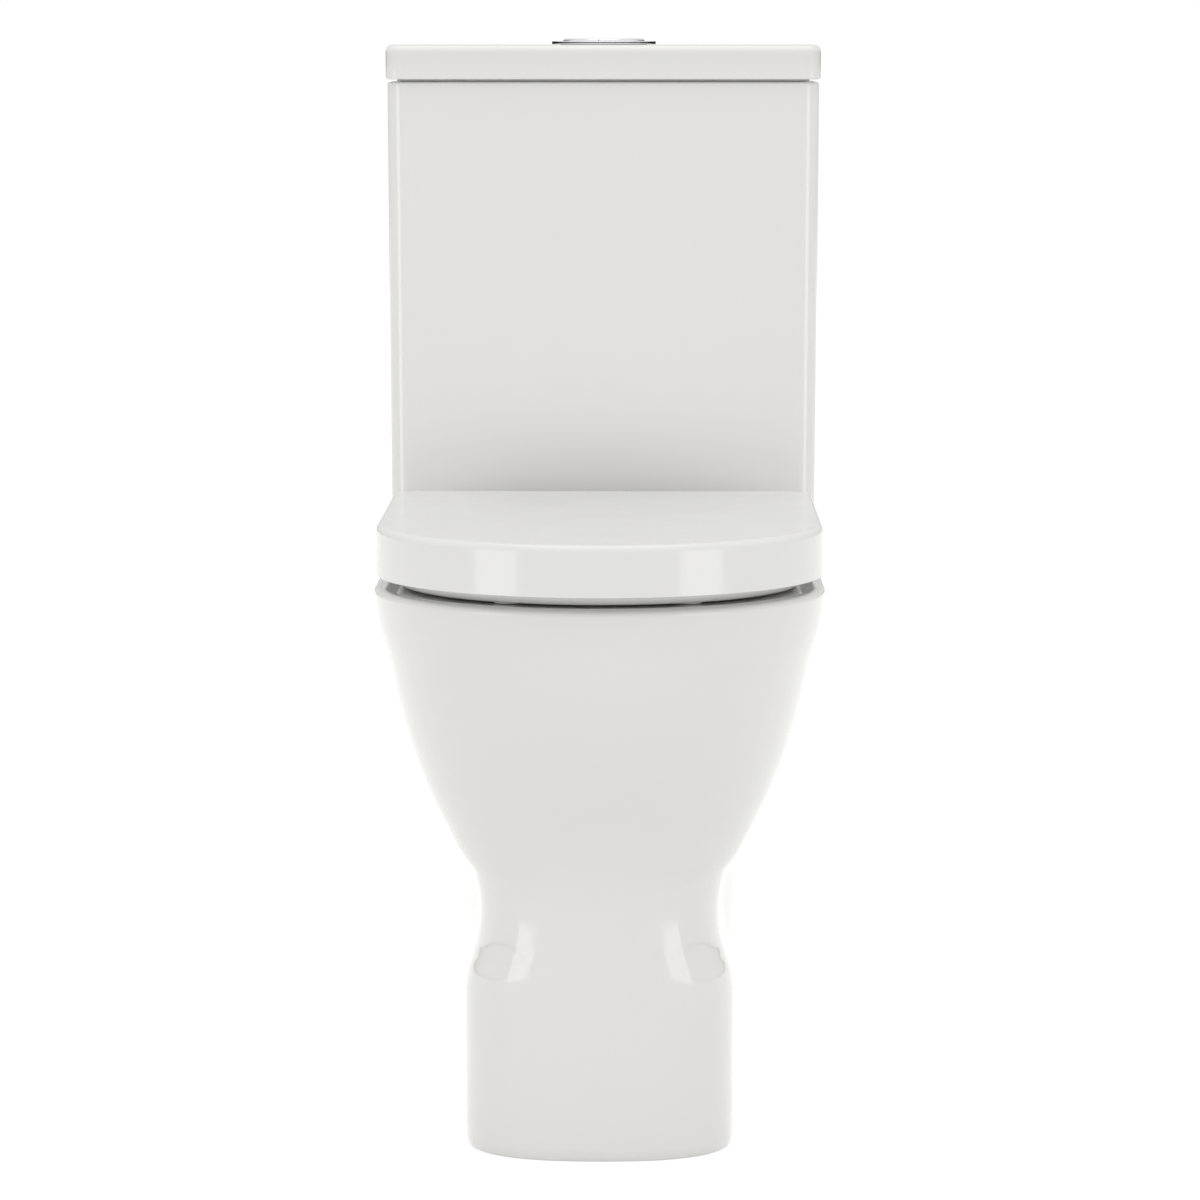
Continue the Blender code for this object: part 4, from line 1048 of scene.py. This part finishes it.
# ---------------------------------------------------------------- flush valve
@dataclass
class FlushValve:
    """The drop valve under the button: cage, lifting tube, seal, float and back nut."""

    cage: float = 0.0330
    tail: float = 0.0300
    throat: float = 0.0220

    def build(self) -> None:
        """Makes every piece of the valve."""
        self._cage()
        self._nut()
        self._lift()

    def _cage(self) -> None:
        """The body: threaded tail, flange, seat and a cage with ports."""
        span = Span.of("flush_valve_body")
        floor = Span.of("cistern").low.z + 0.010 + POSE_GAP
        seat, top = 0.4650, span.high.z
        profile = fillet([(self.cage, top), (self.cage, floor + 0.004), (0.0400, floor + 0.004),
                          (0.0400, floor), (self.tail - 0.0006, floor), (self.tail - 0.0006, span.low.z),
                          (0.0255, span.low.z), (0.0255, seat - 0.0045), (self.throat, seat - 0.0045),
                          (self.throat, seat), (self.tail, seat), (self.tail, top - 0.004),
                          (0.0125, top - 0.004), (0.0125, top)], 0.0006, 3)
        body = piece("valve_cage", revolve(profile, 96), span.stand)
        x, y = span.middle.x, span.middle.y
        tools = []
        for z0, z1 in ((seat + 0.004, 0.530), (0.560, 0.610)):
            for dx, dy in ((0.04, 0.014), (0.014, 0.04)):
                port = round_box((x - dx, y - dy, z0), (x + dx, y + dy, z1), 0.003, 3)
                tools.append(piece("port", port))
        carve(body, tools)
        thread = THREAD.make("thread", VALVE, to(x, y, span.low.z + 0.003), Radius=self.tail - 0.0007,
                             Pitch=0.0028, Depth=0.0006, Count=15.0)
        ribs = RIBS.make("ribs", VALVE, to(x, y, floor + 0.0055), Radius=0.0355, Width=0.0016,
                         Depth=0.0060, Height=0.0040, Count=24.0)
        join_meshes(body, thread)
        dress(join_meshes(body, ribs), VALVE, "root", "flush_valve_body")

    def _nut(self) -> None:
        """The plastic back nut inside the doughnut washer."""
        span = Span.of("flush_valve_nut")
        outer = span.radius - 0.0012
        nut = piece("valve_back_nut", collar(0.0303, outer, span.low.z, span.high.z), span.stand)
        ribs = RIBS.make("ribs", DARK, to(*span.middle), Radius=outer, Width=0.0030, Depth=0.0022,
                         Height=span.high.z - span.low.z - 0.0010, Count=16.0)
        dress(join_meshes(nut, ribs), DARK, "root", "flush_valve_nut")

    def _lift(self) -> None:
        """The overflow tube with its seal and the half flush float."""
        span = Span.of("overflow_tube")
        tube = piece("lifting_tube", collar(0.0090, 0.0115, span.low.z, span.high.z, 0.0005), span.stand)
        collars = RIBS.make("ribs", BLUE, to(span.middle.x, span.middle.y, span.high.z - 0.012),
                            Radius=0.0117, Width=0.0012, Depth=0.0010, Height=0.020, Count=12.0)
        dress(join_meshes(tube, collars), BLUE, "flush_lift", "overflow_tube")
        seal = Span.of("flush_seal")
        profile = fillet([(0.0260, seal.low.z + 0.0022), (0.0260, seal.low.z), (0.0118, seal.low.z),
                          (0.0118, seal.high.z), (0.0200, seal.high.z)], 0.0007, 4)
        dress(piece("seal_washer", revolve(profile, 72), seal.stand), RUBBER, "flush_lift", "flush_seal")
        ring = Span.of("half_flush_float")
        shape = collar(0.0118, ring.radius, ring.low.z, ring.high.z, 0.0030)
        dress(piece("flush_float", shape, ring.stand), BLUE, "flush_lift", "half_flush_float")


# ---------------------------------------------------------------- fill valve
@dataclass
class FillValve:
    """The bottom inlet float valve."""

    riser: float = 0.0095
    tail: float = 0.0103
    bore: float = 0.0060
    pin: float = 0.0012
    pivot_x: float = -0.110
    pivot_z: float = 0.735

    def build(self) -> None:
        """Makes every piece of the valve."""
        self._body()
        self._fixings()
        self._head()
        self._float()

    def _body(self) -> None:
        """The riser, flange and threaded tail."""
        span = Span.of("fill_valve_body")
        flange = Span.of("fill_valve_gasket").high.z + POSE_GAP
        profile = fillet([(self.riser, span.high.z), (self.riser, flange + 0.004), (0.0165, flange + 0.004),
                          (0.0165, flange), (self.tail - 0.0005, flange), (self.tail - 0.0005, span.low.z),
                          (self.bore, span.low.z), (self.bore, span.high.z)], 0.0006, 3)
        body = piece("fill_riser", revolve(profile, 64), span.stand)
        thread = THREAD.make("thread", VALVE, to(span.middle.x, span.middle.y, span.low.z + 0.003),
                             Radius=self.tail - 0.0006, Pitch=0.0018, Depth=0.0005, Count=29.0)
        dress(join_meshes(body, thread), VALVE, "root", "fill_valve_body")

    @staticmethod
    def _fixings() -> None:
        """The gasket in the tank and the nut below it."""
        gasket = Span.of("fill_valve_gasket")
        shape = collar(0.0106, gasket.radius, gasket.low.z, gasket.high.z)
        dress(piece("fill_gasket", shape, gasket.stand), RUBBER, "root", "fill_valve_gasket")
        dress(bored_nut("fill_nut", "fill_valve_nut", 0.0106), VALVE, "root", "fill_valve_nut", crease=25.0)

    def _head(self) -> None:
        """The diaphragm housing with its fork and moulded pin, and the lever."""
        x, y = Span.of("fill_valve_body").middle.xy
        base, top = Span.of("fill_valve_head").low.z, Span.of("fill_valve_head").high.z
        pivot = Vector((self.pivot_x, y, self.pivot_z))
        profile = fillet([(0.0, top), (0.0120, top - 0.0005), (0.0165, top - 0.0050), (0.0175, top - 0.018),
                          (0.0175, base), (0.0, base)], 0.0015, 4, closed=False)
        head = piece("fill_head", revolve(profile, 72, closed=False), to(x, y))
        fork = round_box((x + 0.010, y - 0.006, pivot.z - 0.006), (x + 0.031, y + 0.006, pivot.z + 0.005),
                         0.0012, 3)
        carve(head, [piece("fork", fork)], "UNION")
        slot = round_box((x + 0.0185, y - 0.0022, pivot.z - 0.02),
                         (x + 0.04, y + 0.0022, pivot.z + 0.02), 0.0)
        carve(head, [piece("slot", slot)])
        pin = piece("pin", drum(self.pin, -0.007, 0.007, 0.0003, 20), along_y(pivot))
        carve(head, [pin], "UNION")
        ribs = RIBS.make("ribs", VALVE, to(x, y, base + 0.008), Radius=0.0174, Width=0.0014, Depth=0.0012,
                         Height=0.012, Count=20.0)
        dress(join_meshes(head, ribs), VALVE, "root", "fill_valve_head")
        self._lever(pivot)

    @staticmethod
    def _lever(pivot: Vector) -> None:
        """The flat lever, drooping from its pin, with round ends and a hole."""
        droop, reach, half = math.radians(30), 0.0330, 0.0030
        bm = round_box((-0.0045, -0.0016, -half), (reach, 0.0016, half), 0.0005, 3)
        turn = Matrix.Translation(pivot) @ Matrix.Rotation(droop, 4, "Y")
        lever = piece("fill_lever_arm", bm, turn)
        carve(lever, [piece("hole", drum(0.0015, -0.01, 0.01, steps=20), along_y(pivot))])
        dress(lever, BLUE, "fill_lever", "lever_arm")

    def _float(self) -> None:
        """The float, sliding on the riser, and its rod."""
        span, riser = Span.of("float_cup"), Span.of("fill_valve_body").middle
        cup = piece("float_box", round_box(span.low, span.high, 0.004, 5, 0.008))
        bore = piece("bore", drum(self.riser + 0.0007, span.low.z - 0.01, span.high.z + 0.01),
                     to(riser.x, riser.y))
        panel = round_box((span.low.x + 0.034, span.low.y - 0.002, span.low.z + 0.010),
                          (span.high.x - 0.008, span.low.y + 0.0012, span.high.z - 0.010), 0.001, 2)
        carve(cup, [bore, piece("panel", panel)])
        dress(cup, VALVE, "fill_float", "float_cup")
        rod = Span.of("float_rod")
        dress(piece("float_link", drum(0.0015, rod.low.z, rod.high.z, 0.0004, 20), rod.stand), STEEL,
              "fill_float", "float_rod")


# ---------------------------------------------------------------- close coupling kit
@dataclass
class CouplingKit:
    """The doughnut washer and the two bolts that hold the tank on the shelf."""

    shank: float = 0.0050
    bore: float = 0.0053

    def build(self) -> None:
        """Makes the washer and both bolts."""
        span = Span.of("coupling_gasket")
        profile = fillet([(span.radius - 0.003, span.high.z), (span.radius, span.low.z + 0.004),
                          (span.radius - 0.003, span.low.z), (0.0425, span.low.z), (0.0425, span.high.z)],
                         0.0022, 5)
        dress(piece("doughnut_washer", revolve(profile, 96), span.stand), RUBBER, "root", "coupling_gasket")
        for tag, _ in SIDES:
            self._bolt(tag)

    def _bolt(self, tag: str) -> None:
        """One brass bolt with its seal, spacer and nut."""
        span, seal = Span.of(f"coupling_bolt_{tag}"), Span.of(f"coupling_seal_{tag}")
        head = seal.high.z + POSE_GAP
        bolt = piece(f"tank_bolt_{tag}", hexagon(span.radius, head, span.high.z), span.stand)
        shank = piece("shank", drum(self.shank - 0.0005, span.low.z, head + 0.001, 0.0006), span.stand)
        carve(bolt, [shank], "UNION")
        thread = THREAD.make("thread", BRASS, to(span.middle.x, span.middle.y, span.low.z + 0.002),
                             Radius=self.shank - 0.0006, Pitch=0.0014, Depth=0.0005, Count=30.0)
        dress(join_meshes(bolt, thread), BRASS, "root", f"coupling_bolt_{tag}", crease=25.0)
        for node, name in ((f"coupling_seal_{tag}", f"tank_seal_{tag}"),
                           (f"coupling_washer_{tag}", f"tank_spacer_{tag}")):
            box = Span.of(node)
            shape = collar(self.bore, box.radius, box.low.z, box.high.z, 0.0008)
            dress(piece(name, shape, box.stand), RUBBER, "root", node)
        node = f"coupling_nut_{tag}"
        dress(bored_nut(f"tank_nut_{tag}", node, self.bore), BRASS, "root", node, crease=25.0)


# ---------------------------------------------------------------- seat
@dataclass
class Seat:
    """The wrap-over lid, the ring and their buffers."""

    shell: float = 0.0045
    shoulder: float = -0.145
    edge_z: float = 0.446
    top_inset: float = 0.0048
    top_drop: float = 0.0060
    skirt: float = 0.0025
    set_back: float = 0.0035
    under_round: float = 0.0060
    hinge_y: float = 0.085
    hinge_z: float = 0.458
    pin_hole: float = 0.0044

    def build(self) -> None:
        """Makes the lid, the ring and the buffers."""
        self._lid()
        self._ring()
        self._buffers()

    def _lid_outline(self, span: Span, inset: float) -> Outline:
        """Returns the lid's plan drawn in by inset."""
        half = span.high.x - inset
        corner = max(0.022 - inset, 0.004)
        return Outline(span.low.y + inset, half, self.shoulder, span.high.y - inset, half, corner=corner)

    def _lid(self) -> None:
        """The lid: one wall all round, a round top edge and lugs behind."""
        span = Span.of("seat_lid")
        edge, top = self.edge_z, span.high.z
        profile = [(self.shell, edge + 0.0012), (self.shell - 0.0003, edge + 0.0003),
                   (self.shell - 0.0009, edge), (0.0007, edge), (0.0002, edge + 0.0002),
                   (0.0, edge + 0.0008), (0.0003, top - self.top_drop)]
        for i in range(1, 11):
            a = math.pi / 2 * i / 10
            profile.append((0.0003 + (self.top_inset - 0.0003) * (1 - math.cos(a)),
                            top - self.top_drop * (1 - math.sin(a))))
        loops = [self._lid_outline(span, self.shell + 0.004).at(top - self.shell)]
        loops.append(self._lid_outline(span, self.shell + 0.0010).at(top - self.shell - 0.0012))
        loops.append(self._lid_outline(span, self.shell).at(top - self.shell - 0.0045))
        loops += [self._lid_outline(span, inset).at(z) for inset, z in profile]
        lid = piece("seat_cover", skin(loops))
        back = span.high.y
        notch = round_box((-0.148, back - 0.012, 0.43), (0.148, back + 0.01, 0.474), 0.002, 3)
        above = top - self.shell + 0.001 - self.hinge_z
        lugs, bores = self._lugs(0.094, 0.106, (-0.010, 0.010, -0.010, above))
        carve(lid, [piece("notch", notch)])
        carve(lid, lugs, "UNION")
        carve(lid, bores)
        dress(lid, SEAT_GLOSS, "lid", "seat_lid")

    def _lugs(self, x0: float, x1: float, reach: tuple[float, float, float, float]
              ) -> tuple[list[bpy.types.Object], list[bpy.types.Object]]:
        """Makes hinge lugs and their pin holes on both sides.

        Args:
            x0: the lug's inner side.
            x1: its outer side.
            reach: how far it runs from the axis to the front, back, below and above.

        Returns:
            The lugs and the pin holes.
        """
        lugs, bores = [], []
        front, back, below, above = reach
        for _, side in SIDES:
            low_x, high_x = sorted((side * x0, side * x1))
            box = round_box((low_x, self.hinge_y + front, self.hinge_z + below),
                            (high_x, self.hinge_y + back, self.hinge_z + above), 0.0012, 3)
            lugs.append(piece("lug", box))
            middle = along_x((low_x + high_x) / 2, self.hinge_y, self.hinge_z)
            bores.append(piece("bore", drum(self.pin_hole, -0.012, 0.012, steps=32), middle))
        return lugs, bores

    def _ring(self) -> None:
        """The ring: a crowned band with a soft inner edge, and its lugs."""
        span = Span.of("seat_ring")
        low, top = span.low.z - self.skirt, span.high.z
        half = span.high.x - self.set_back
        outer = Outline(span.low.y + self.set_back, half, self.shoulder, 0.070, half, corner=0.035)
        inner = Outline(-0.240, 0.1050, -0.105, 0.030, 0.060, (-0.105, 0.04), 0.045)
        section = self._round_section(low, top)
        outside, inside = outer.at(0.0), inner.at(0.0)
        loops = []
        for share, z in section:
            loops.append([(a[0] + (b[0] - a[0]) * share, a[1] + (b[1] - a[1]) * share, z)
                          for a, b in zip(outside, inside)])
        ring = piece("seat_band", skin(loops, capped=False))
        lugs, bores = self._lugs(0.050, 0.061, (-0.035, 0.009, -0.009, 0.0065))
        carve(ring, lugs, "UNION")
        carve(ring, bores)
        dress(ring, SEAT_GLOSS, "ring", "seat_ring")

    def _round_section(self, low: float, top: float) -> list[Point2]:
        """Returns the band's section: share of the way in, and height.

        Args:
            low: height of its underside.
            top: height of its crown.
        """
        points: list[Point2] = []
        for share, rise, run in ((0.0, top - 0.009, 0.20), (1.0, top - 0.009, -0.25)):
            arc = []
            for i in range(9):
                a = math.pi / 2 * i / 8
                arc.append((share + run * (1 - math.cos(a)), rise + (top - rise) * math.sin(a)))
            points += arc if share == 0.0 else list(reversed(arc))
        for share, run, height in ((1.0, -0.03, 0.003), (0.0, 0.12, self.under_round)):
            arc = []
            for i in range(7):
                a = math.pi / 2 * i / 6
                arc.append((share + run * (1 - math.cos(a)), low + height * (1 - math.sin(a))))
            points += arc if share == 1.0 else list(reversed(arc))
        return points

    @staticmethod
    def _buffers() -> None:
        """The round buffers under the ring and the lid, each a little domed."""
        for body, nodes in (("ring", ("ring_bumper_front_l", "ring_bumper_front_r", "ring_bumper_rear_l",
                                      "ring_bumper_rear_r")),
                            ("lid", ("lid_bumper_l", "lid_bumper_r"))):
            for node in nodes:
                span = Span.of(node)
                shape = drum(span.radius, span.low.z, span.high.z, 0.0012, 40)
                dress(piece(node.replace("bumper", "buffer"), shape, span.stand), PALE_RUBBER, body, node)


@dataclass
class SeatHinge:
    """The chrome hinge posts, their pins, and the studs, washers and nuts under the deck."""

    stem: float = 0.0085
    barrel: float = 0.0090
    barrel_half: float = 0.013
    pin: float = 0.0040
    pin_bore: float = 0.0044
    nut_bore: float = 0.0043

    def build(self) -> None:
        """Makes both hinges."""
        for tag, _ in SIDES:
            self._post(tag)
            self._below(tag)
            span = Span.of(f"hinge_pin_{tag}")
            half = (span.high.x - span.low.x) / 2
            place = along_x(*span.middle)
            dress(piece(f"seat_pin_{tag}", drum(self.pin, -half, half, 0.0006, 32), place), STEEL, "root",
                  f"hinge_pin_{tag}")

    def _post(self, tag: str) -> None:
        """One post: a round foot, a waisted stem and a barrel across."""
        span = Span.of(f"hinge_post_{tag}")
        pin = Span.of(f"hinge_pin_{tag}").middle
        low = span.low.z
        profile = fillet([(0.0, pin.z - 0.001), (self.stem, pin.z - 0.001), (self.stem - 0.0008, low + 0.005),
                          (0.0125, low + 0.003), (0.0125, low), (0.0, low)], 0.0010, 4, closed=False)
        post = piece(f"seat_post_{tag}", revolve(profile, 64, closed=False), span.stand)
        across = along_x(span.middle.x, pin.y, pin.z)
        barrel = drum(self.barrel, -self.barrel_half, self.barrel_half, 0.0010, 64)
        carve(post, [piece("barrel", barrel, across)], "UNION")
        carve(post, [piece("bore", drum(self.pin_bore, -0.02, 0.02, steps=32), across)])
        dress(post, CHROME, "root", f"hinge_post_{tag}")

    def _below(self, tag: str) -> None:
        """The stud, its rubber washer and its nut."""
        span = Span.of(f"hinge_stud_{tag}")
        stud = piece(f"seat_stud_{tag}", drum(self.pin - 0.0004, span.low.z, span.high.z, 0.0005, 32),
                     span.stand)
        thread = THREAD.make("thread", STEEL, to(span.middle.x, span.middle.y, span.low.z + 0.001),
                             Radius=self.pin - 0.0005, Pitch=0.00125, Depth=0.0004, Count=34.0)
        dress(join_meshes(stud, thread), STEEL, "root", f"hinge_stud_{tag}")
        box = Span.of(f"hinge_washer_{tag}")
        washer = collar(self.nut_bore, box.radius, box.low.z, box.high.z)
        dress(piece(f"seat_washer_{tag}", washer, box.stand), RUBBER, "root", f"hinge_washer_{tag}")
        node = f"hinge_nut_{tag}"
        dress(bored_nut(f"seat_nut_{tag}", node, self.nut_bore), VALVE, "root", node, crease=25.0)


# ---------------------------------------------------------------- floor fixing
@dataclass
class FloorFixing:
    """The bracket, screws and cover cap on each side of the foot."""

    def build(self) -> None:
        """Makes both sides."""
        for tag, side in SIDES:
            self._bracket(tag, side)
            self._screws(tag, side)
            self._cap(tag, side)

    @staticmethod
    def _bracket(tag: str, side: int) -> None:
        """The moulded angle bracket: an upright and a foot, with its two screw holes."""
        span = Span.of(f"floor_bracket_{tag}")
        low, high = span.low, span.high
        inner, outer = (high.x, low.x) if side < 0 else (low.x, high.x)
        upright = sorted((outer, outer - side * 0.012))
        plate = sorted((inner, outer - side * 0.006))
        bracket = piece(f"fixing_bracket_{tag}", round_box((upright[0], low.y, 0.0),
                                                           (upright[1], high.y, high.z), 0.0015, 3))
        foot = round_box((plate[0], low.y, 0.0), (plate[1], high.y, 0.006), 0.0012, 3)
        carve(bracket, [piece("foot", foot)], "UNION")
        screw, cross = Span.of(f"floor_screw_{tag}").middle, Span.of(f"side_screw_{tag}").middle
        upright_hole = piece("hole", drum(0.0034, -0.01, 0.02, steps=32), to(screw.x, screw.y))
        side_hole = piece("hole", drum(0.0028, -0.02, 0.02, steps=24), along_x(outer, cross.y, cross.z))
        carve(bracket, [upright_hole, side_hole])
        dress(bracket, DARK, "root", f"floor_bracket_{tag}")

    @staticmethod
    def _screws(tag: str, side: int) -> None:
        """The floor screw and the side screw, each with a cross recess."""
        span = Span.of(f"floor_screw_{tag}")
        head = fillet([(0.0, span.high.z), (0.0050, span.high.z - 0.0004), (0.0060, 0.0063), (0.0030, 0.0063),
                       (0.0030, span.low.z), (0.0, span.low.z)], 0.0006, 4, closed=False)
        screw = piece(f"fixing_screw_{tag}", revolve(head, 48, closed=False), span.stand)
        carve(screw, FloorFixing._cross(span.stand @ to(0, 0, span.high.z)))
        dress(screw, STEEL, "root", f"floor_screw_{tag}")
        span = Span.of(f"side_screw_{tag}")
        length = span.high.x - span.low.x
        start = span.low.x if side > 0 else span.high.x
        place = along_x(start, span.middle.y, span.middle.z, side)
        head = fillet([(0.0, length), (0.0040, length - 0.0004), (0.0048, length - 0.0030),
                       (0.0025, length - 0.0030), (0.0025, 0.0), (0.0, 0.0)], 0.0005, 4, closed=False)
        screw = piece(f"fixing_cross_screw_{tag}", revolve(head, 48, closed=False), place)
        carve(screw, FloorFixing._cross(place @ to(0, 0, length)))
        dress(screw, STEEL, "root", f"side_screw_{tag}")

    @staticmethod
    def _cross(place: Matrix) -> list[bpy.types.Object]:
        """Returns the two blades of a cross recess at a screw's head."""
        long, short, depth = 0.0026, 0.0005, 0.0014
        return [piece("blade", round_box((-a, -b, -depth), (a, b, 0.01), 0.0), place)
                for a, b in ((long, short), (short, long))]

    @staticmethod
    def _cap(tag: str, side: int) -> None:
        """The white push-on cap over the side screw."""
        span = Span.of(f"side_cap_{tag}")
        start = span.low.x if side > 0 else span.high.x
        place = along_x(start, span.middle.y, span.middle.z, side)
        profile = fillet([(0.0, 0.0056), (0.0088, 0.0056), (0.0088, 0.0), (0.0055, 0.0), (0.0055, 0.0036),
                          (0.0, 0.0036)], 0.0007, 4, closed=False)
        dress(piece(f"fixing_cap_{tag}", revolve(profile, 64, closed=False), place), SEAT_GLOSS, "root",
              f"side_cap_{tag}")


# ---------------------------------------------------------------- studio
@dataclass(frozen=True)
class Softbox:
    """One soft rectangular lamp, aimed at the object's middle."""

    name: str
    at: Point3
    width: float
    height: float
    power: float
    aim: Point3 = (0.0, 0.0, 0.45)

    def place(self) -> None:
        """Adds the lamp to the scene."""
        data = bpy.data.lights.new(self.name, "AREA")
        data.shape = "RECTANGLE"
        data.size, data.size_y, data.energy = self.width, self.height, self.power
        lamp = bpy.data.objects.new(self.name, data)
        bpy.context.scene.collection.objects.link(lamp)
        lamp.location = self.at
        direction = Vector(self.aim) - Vector(self.at)
        lamp.rotation_euler = direction.to_track_quat("-Z", "Y").to_euler()


@dataclass
class Studio:
    """A plain pale floor, soft light and the camera."""

    lens: float = 135.5
    camera_at: Point3 = (0.034, -3.605, 0.852)
    tilt: float = 7.04
    turn: float = 0.557
    ambient: float = 0.826
    horizon: float = 0.006
    far_end: float = 0.70
    floor_glow: float = 0.45
    softboxes: tuple[Softbox, ...] = (
        Softbox("left_light", (-1.95, -1.75, 0.40), 1.0, 0.78, 3.9, (0.0, 0.0, 0.40)),
        Softbox("right_light", (1.95, -1.75, 0.40), 1.0, 0.78, 3.9, (0.0, 0.0, 0.40)),
        Softbox("top_light", (0.0, -0.5, 3.2), 2.6, 2.6, 17.0),
    )

    def build(self) -> None:
        """Sets the stage."""
        scene = bpy.context.scene
        scene.view_settings.view_transform = "Standard"
        self._camera(scene)
        self._world(scene)
        self._floor()
        for softbox in self.softboxes:
            softbox.place()

    def _camera(self, scene: bpy.types.Scene) -> None:
        """A long lens a little above the seat, tilted slightly down."""
        data = bpy.data.cameras.new("camera")
        data.lens = self.lens
        data.sensor_width = 36.0
        data.clip_start, data.clip_end = 0.1, 50.0
        camera = bpy.data.objects.new("camera", data)
        scene.collection.objects.link(camera)
        camera.location = self.camera_at
        camera.rotation_euler = (math.radians(90.0 - self.tilt), 0.0, math.radians(self.turn))
        scene.camera = camera

    def _world(self, scene: bpy.types.Scene) -> None:
        """An even white room, seen as plain white behind the object."""
        world = bpy.data.worlds.new("room")
        world.use_nodes = True
        scene.world = world
        nodes, links = world.node_tree.nodes, world.node_tree.links
        nodes.clear()
        output = nodes.new("ShaderNodeOutputWorld")
        light, seen = nodes.new("ShaderNodeBackground"), nodes.new("ShaderNodeBackground")
        light.inputs["Color"].default_value = (1.0, 0.995, 0.985, 1.0)
        light.inputs["Strength"].default_value = self.ambient
        seen.inputs["Strength"].default_value = 1.0
        mix = nodes.new("ShaderNodeMixShader")
        links.new(direct_rays(world.node_tree), mix.inputs["Fac"])
        links.new(light.outputs["Background"], mix.inputs[1])
        links.new(self._mirrored(world.node_tree), seen.inputs["Color"])
        links.new(seen.outputs["Background"], mix.inputs[2])
        links.new(mix.outputs["Shader"], output.inputs["Surface"])

    def _mirrored(self, tree: bpy.types.NodeTree) -> bpy.types.NodeSocket:
        """The room as seen: white, but in mirrors its far end is dimmer and its horizon dark.

        Args:
            tree: the world's tree.

        Returns:
            The colour output.
        """
        nodes, links = tree.nodes, tree.links
        place, split = nodes.new("ShaderNodeTexCoord"), nodes.new("ShaderNodeSeparateXYZ")
        links.new(place.outputs["Generated"], split.inputs["Vector"])
        height = nodes.new("ShaderNodeMath")
        height.operation = "ABSOLUTE"
        links.new(split.outputs["Z"], height.inputs[0])
        band, far = nodes.new("ShaderNodeMapRange"), nodes.new("ShaderNodeMapRange")
        least = nodes.new("ShaderNodeMath")
        for node, source, start, end, first, last in (
                (band, height.outputs["Value"], self.horizon, self.horizon + 0.003, 0.01, 1.0),
                (far, split.outputs["Y"], 0.1, 0.6, 1.0, self.far_end)):
            node.inputs["From Min"].default_value = start
            node.inputs["From Max"].default_value = end
            node.inputs["To Min"].default_value = first
            node.inputs["To Max"].default_value = last
            links.new(source, node.inputs["Value"])
        least.operation = "MINIMUM"
        links.new(band.outputs["Result"], least.inputs[0])
        links.new(far.outputs["Result"], least.inputs[1])
        ray, choose = nodes.new("ShaderNodeLightPath"), nodes.new("ShaderNodeMix")
        choose.data_type = "RGBA"
        links.new(ray.outputs["Is Glossy Ray"], choose.inputs["Factor"])
        choose.inputs["A"].default_value = (1.0, 1.0, 1.0, 1.0)
        links.new(least.outputs["Value"], choose.inputs["B"])
        return choose.outputs["Result"]

    def _floor(self) -> None:
        """A wide pale floor that keeps the object's shadow."""
        bm = bmesh.new()
        bmesh.ops.create_grid(bm, x_segments=1, y_segments=1, size=12.0)
        floor = piece("studio_floor", bm)
        made = bpy.data.materials.new("pale_floor")
        made.use_nodes = True
        nodes, links = made.node_tree.nodes, made.node_tree.links
        nodes.clear()
        output = nodes.new("ShaderNodeOutputMaterial")
        matte, glow = nodes.new("ShaderNodeBsdfDiffuse"), nodes.new("ShaderNodeEmission")
        matte.inputs["Color"].default_value = (0.80, 0.80, 0.80, 1.0)
        glow.inputs["Color"].default_value = (1.0, 1.0, 1.0, 1.0)
        glow.inputs["Strength"].default_value = self.floor_glow
        both, mix = nodes.new("ShaderNodeAddShader"), nodes.new("ShaderNodeMixShader")
        links.new(matte.outputs["BSDF"], both.inputs[0])
        links.new(glow.outputs["Emission"], both.inputs[1])
        links.new(direct_rays(made.node_tree), mix.inputs["Fac"])
        links.new(matte.outputs["BSDF"], mix.inputs[1])
        links.new(both.outputs["Shader"], mix.inputs[2])
        links.new(mix.outputs["Shader"], output.inputs["Surface"])
        floor.data.materials.append(made)


def direct_rays(tree: bpy.types.NodeTree) -> bpy.types.NodeSocket:
    """Adds the nodes that say whether a ray is the camera's, a reflection's or glass's.

    Args:
        tree: the material's or the world's tree.

    Returns:
        An output that is 1 on such rays.
    """
    path = tree.nodes.new("ShaderNodeLightPath")
    socket = path.outputs["Is Camera Ray"]
    for label in ("Is Glossy Ray", "Is Transmission Ray"):
        either = tree.nodes.new("ShaderNodeMath")
        either.operation = "MAXIMUM"
        tree.links.new(socket, either.inputs[0])
        tree.links.new(path.outputs[label], either.inputs[1])
        socket = either.outputs["Value"]
    return socket


def main() -> None:
    """Builds the whole toilet, then the studio, and logs each piece's face count."""
    logging.basicConfig(level=logging.INFO, format="%(name)s %(message)s")
    for assembly in (Pan(), Cistern(), CisternLid(), FlushButton(), FlushValve(), FillValve(),
                     CouplingKit(), Seat(), SeatHinge(), FloorFixing(), Studio()):
        LOG.info("building %s", type(assembly).__name__)
        assembly.build()


if __name__ == "__main__":
    main()
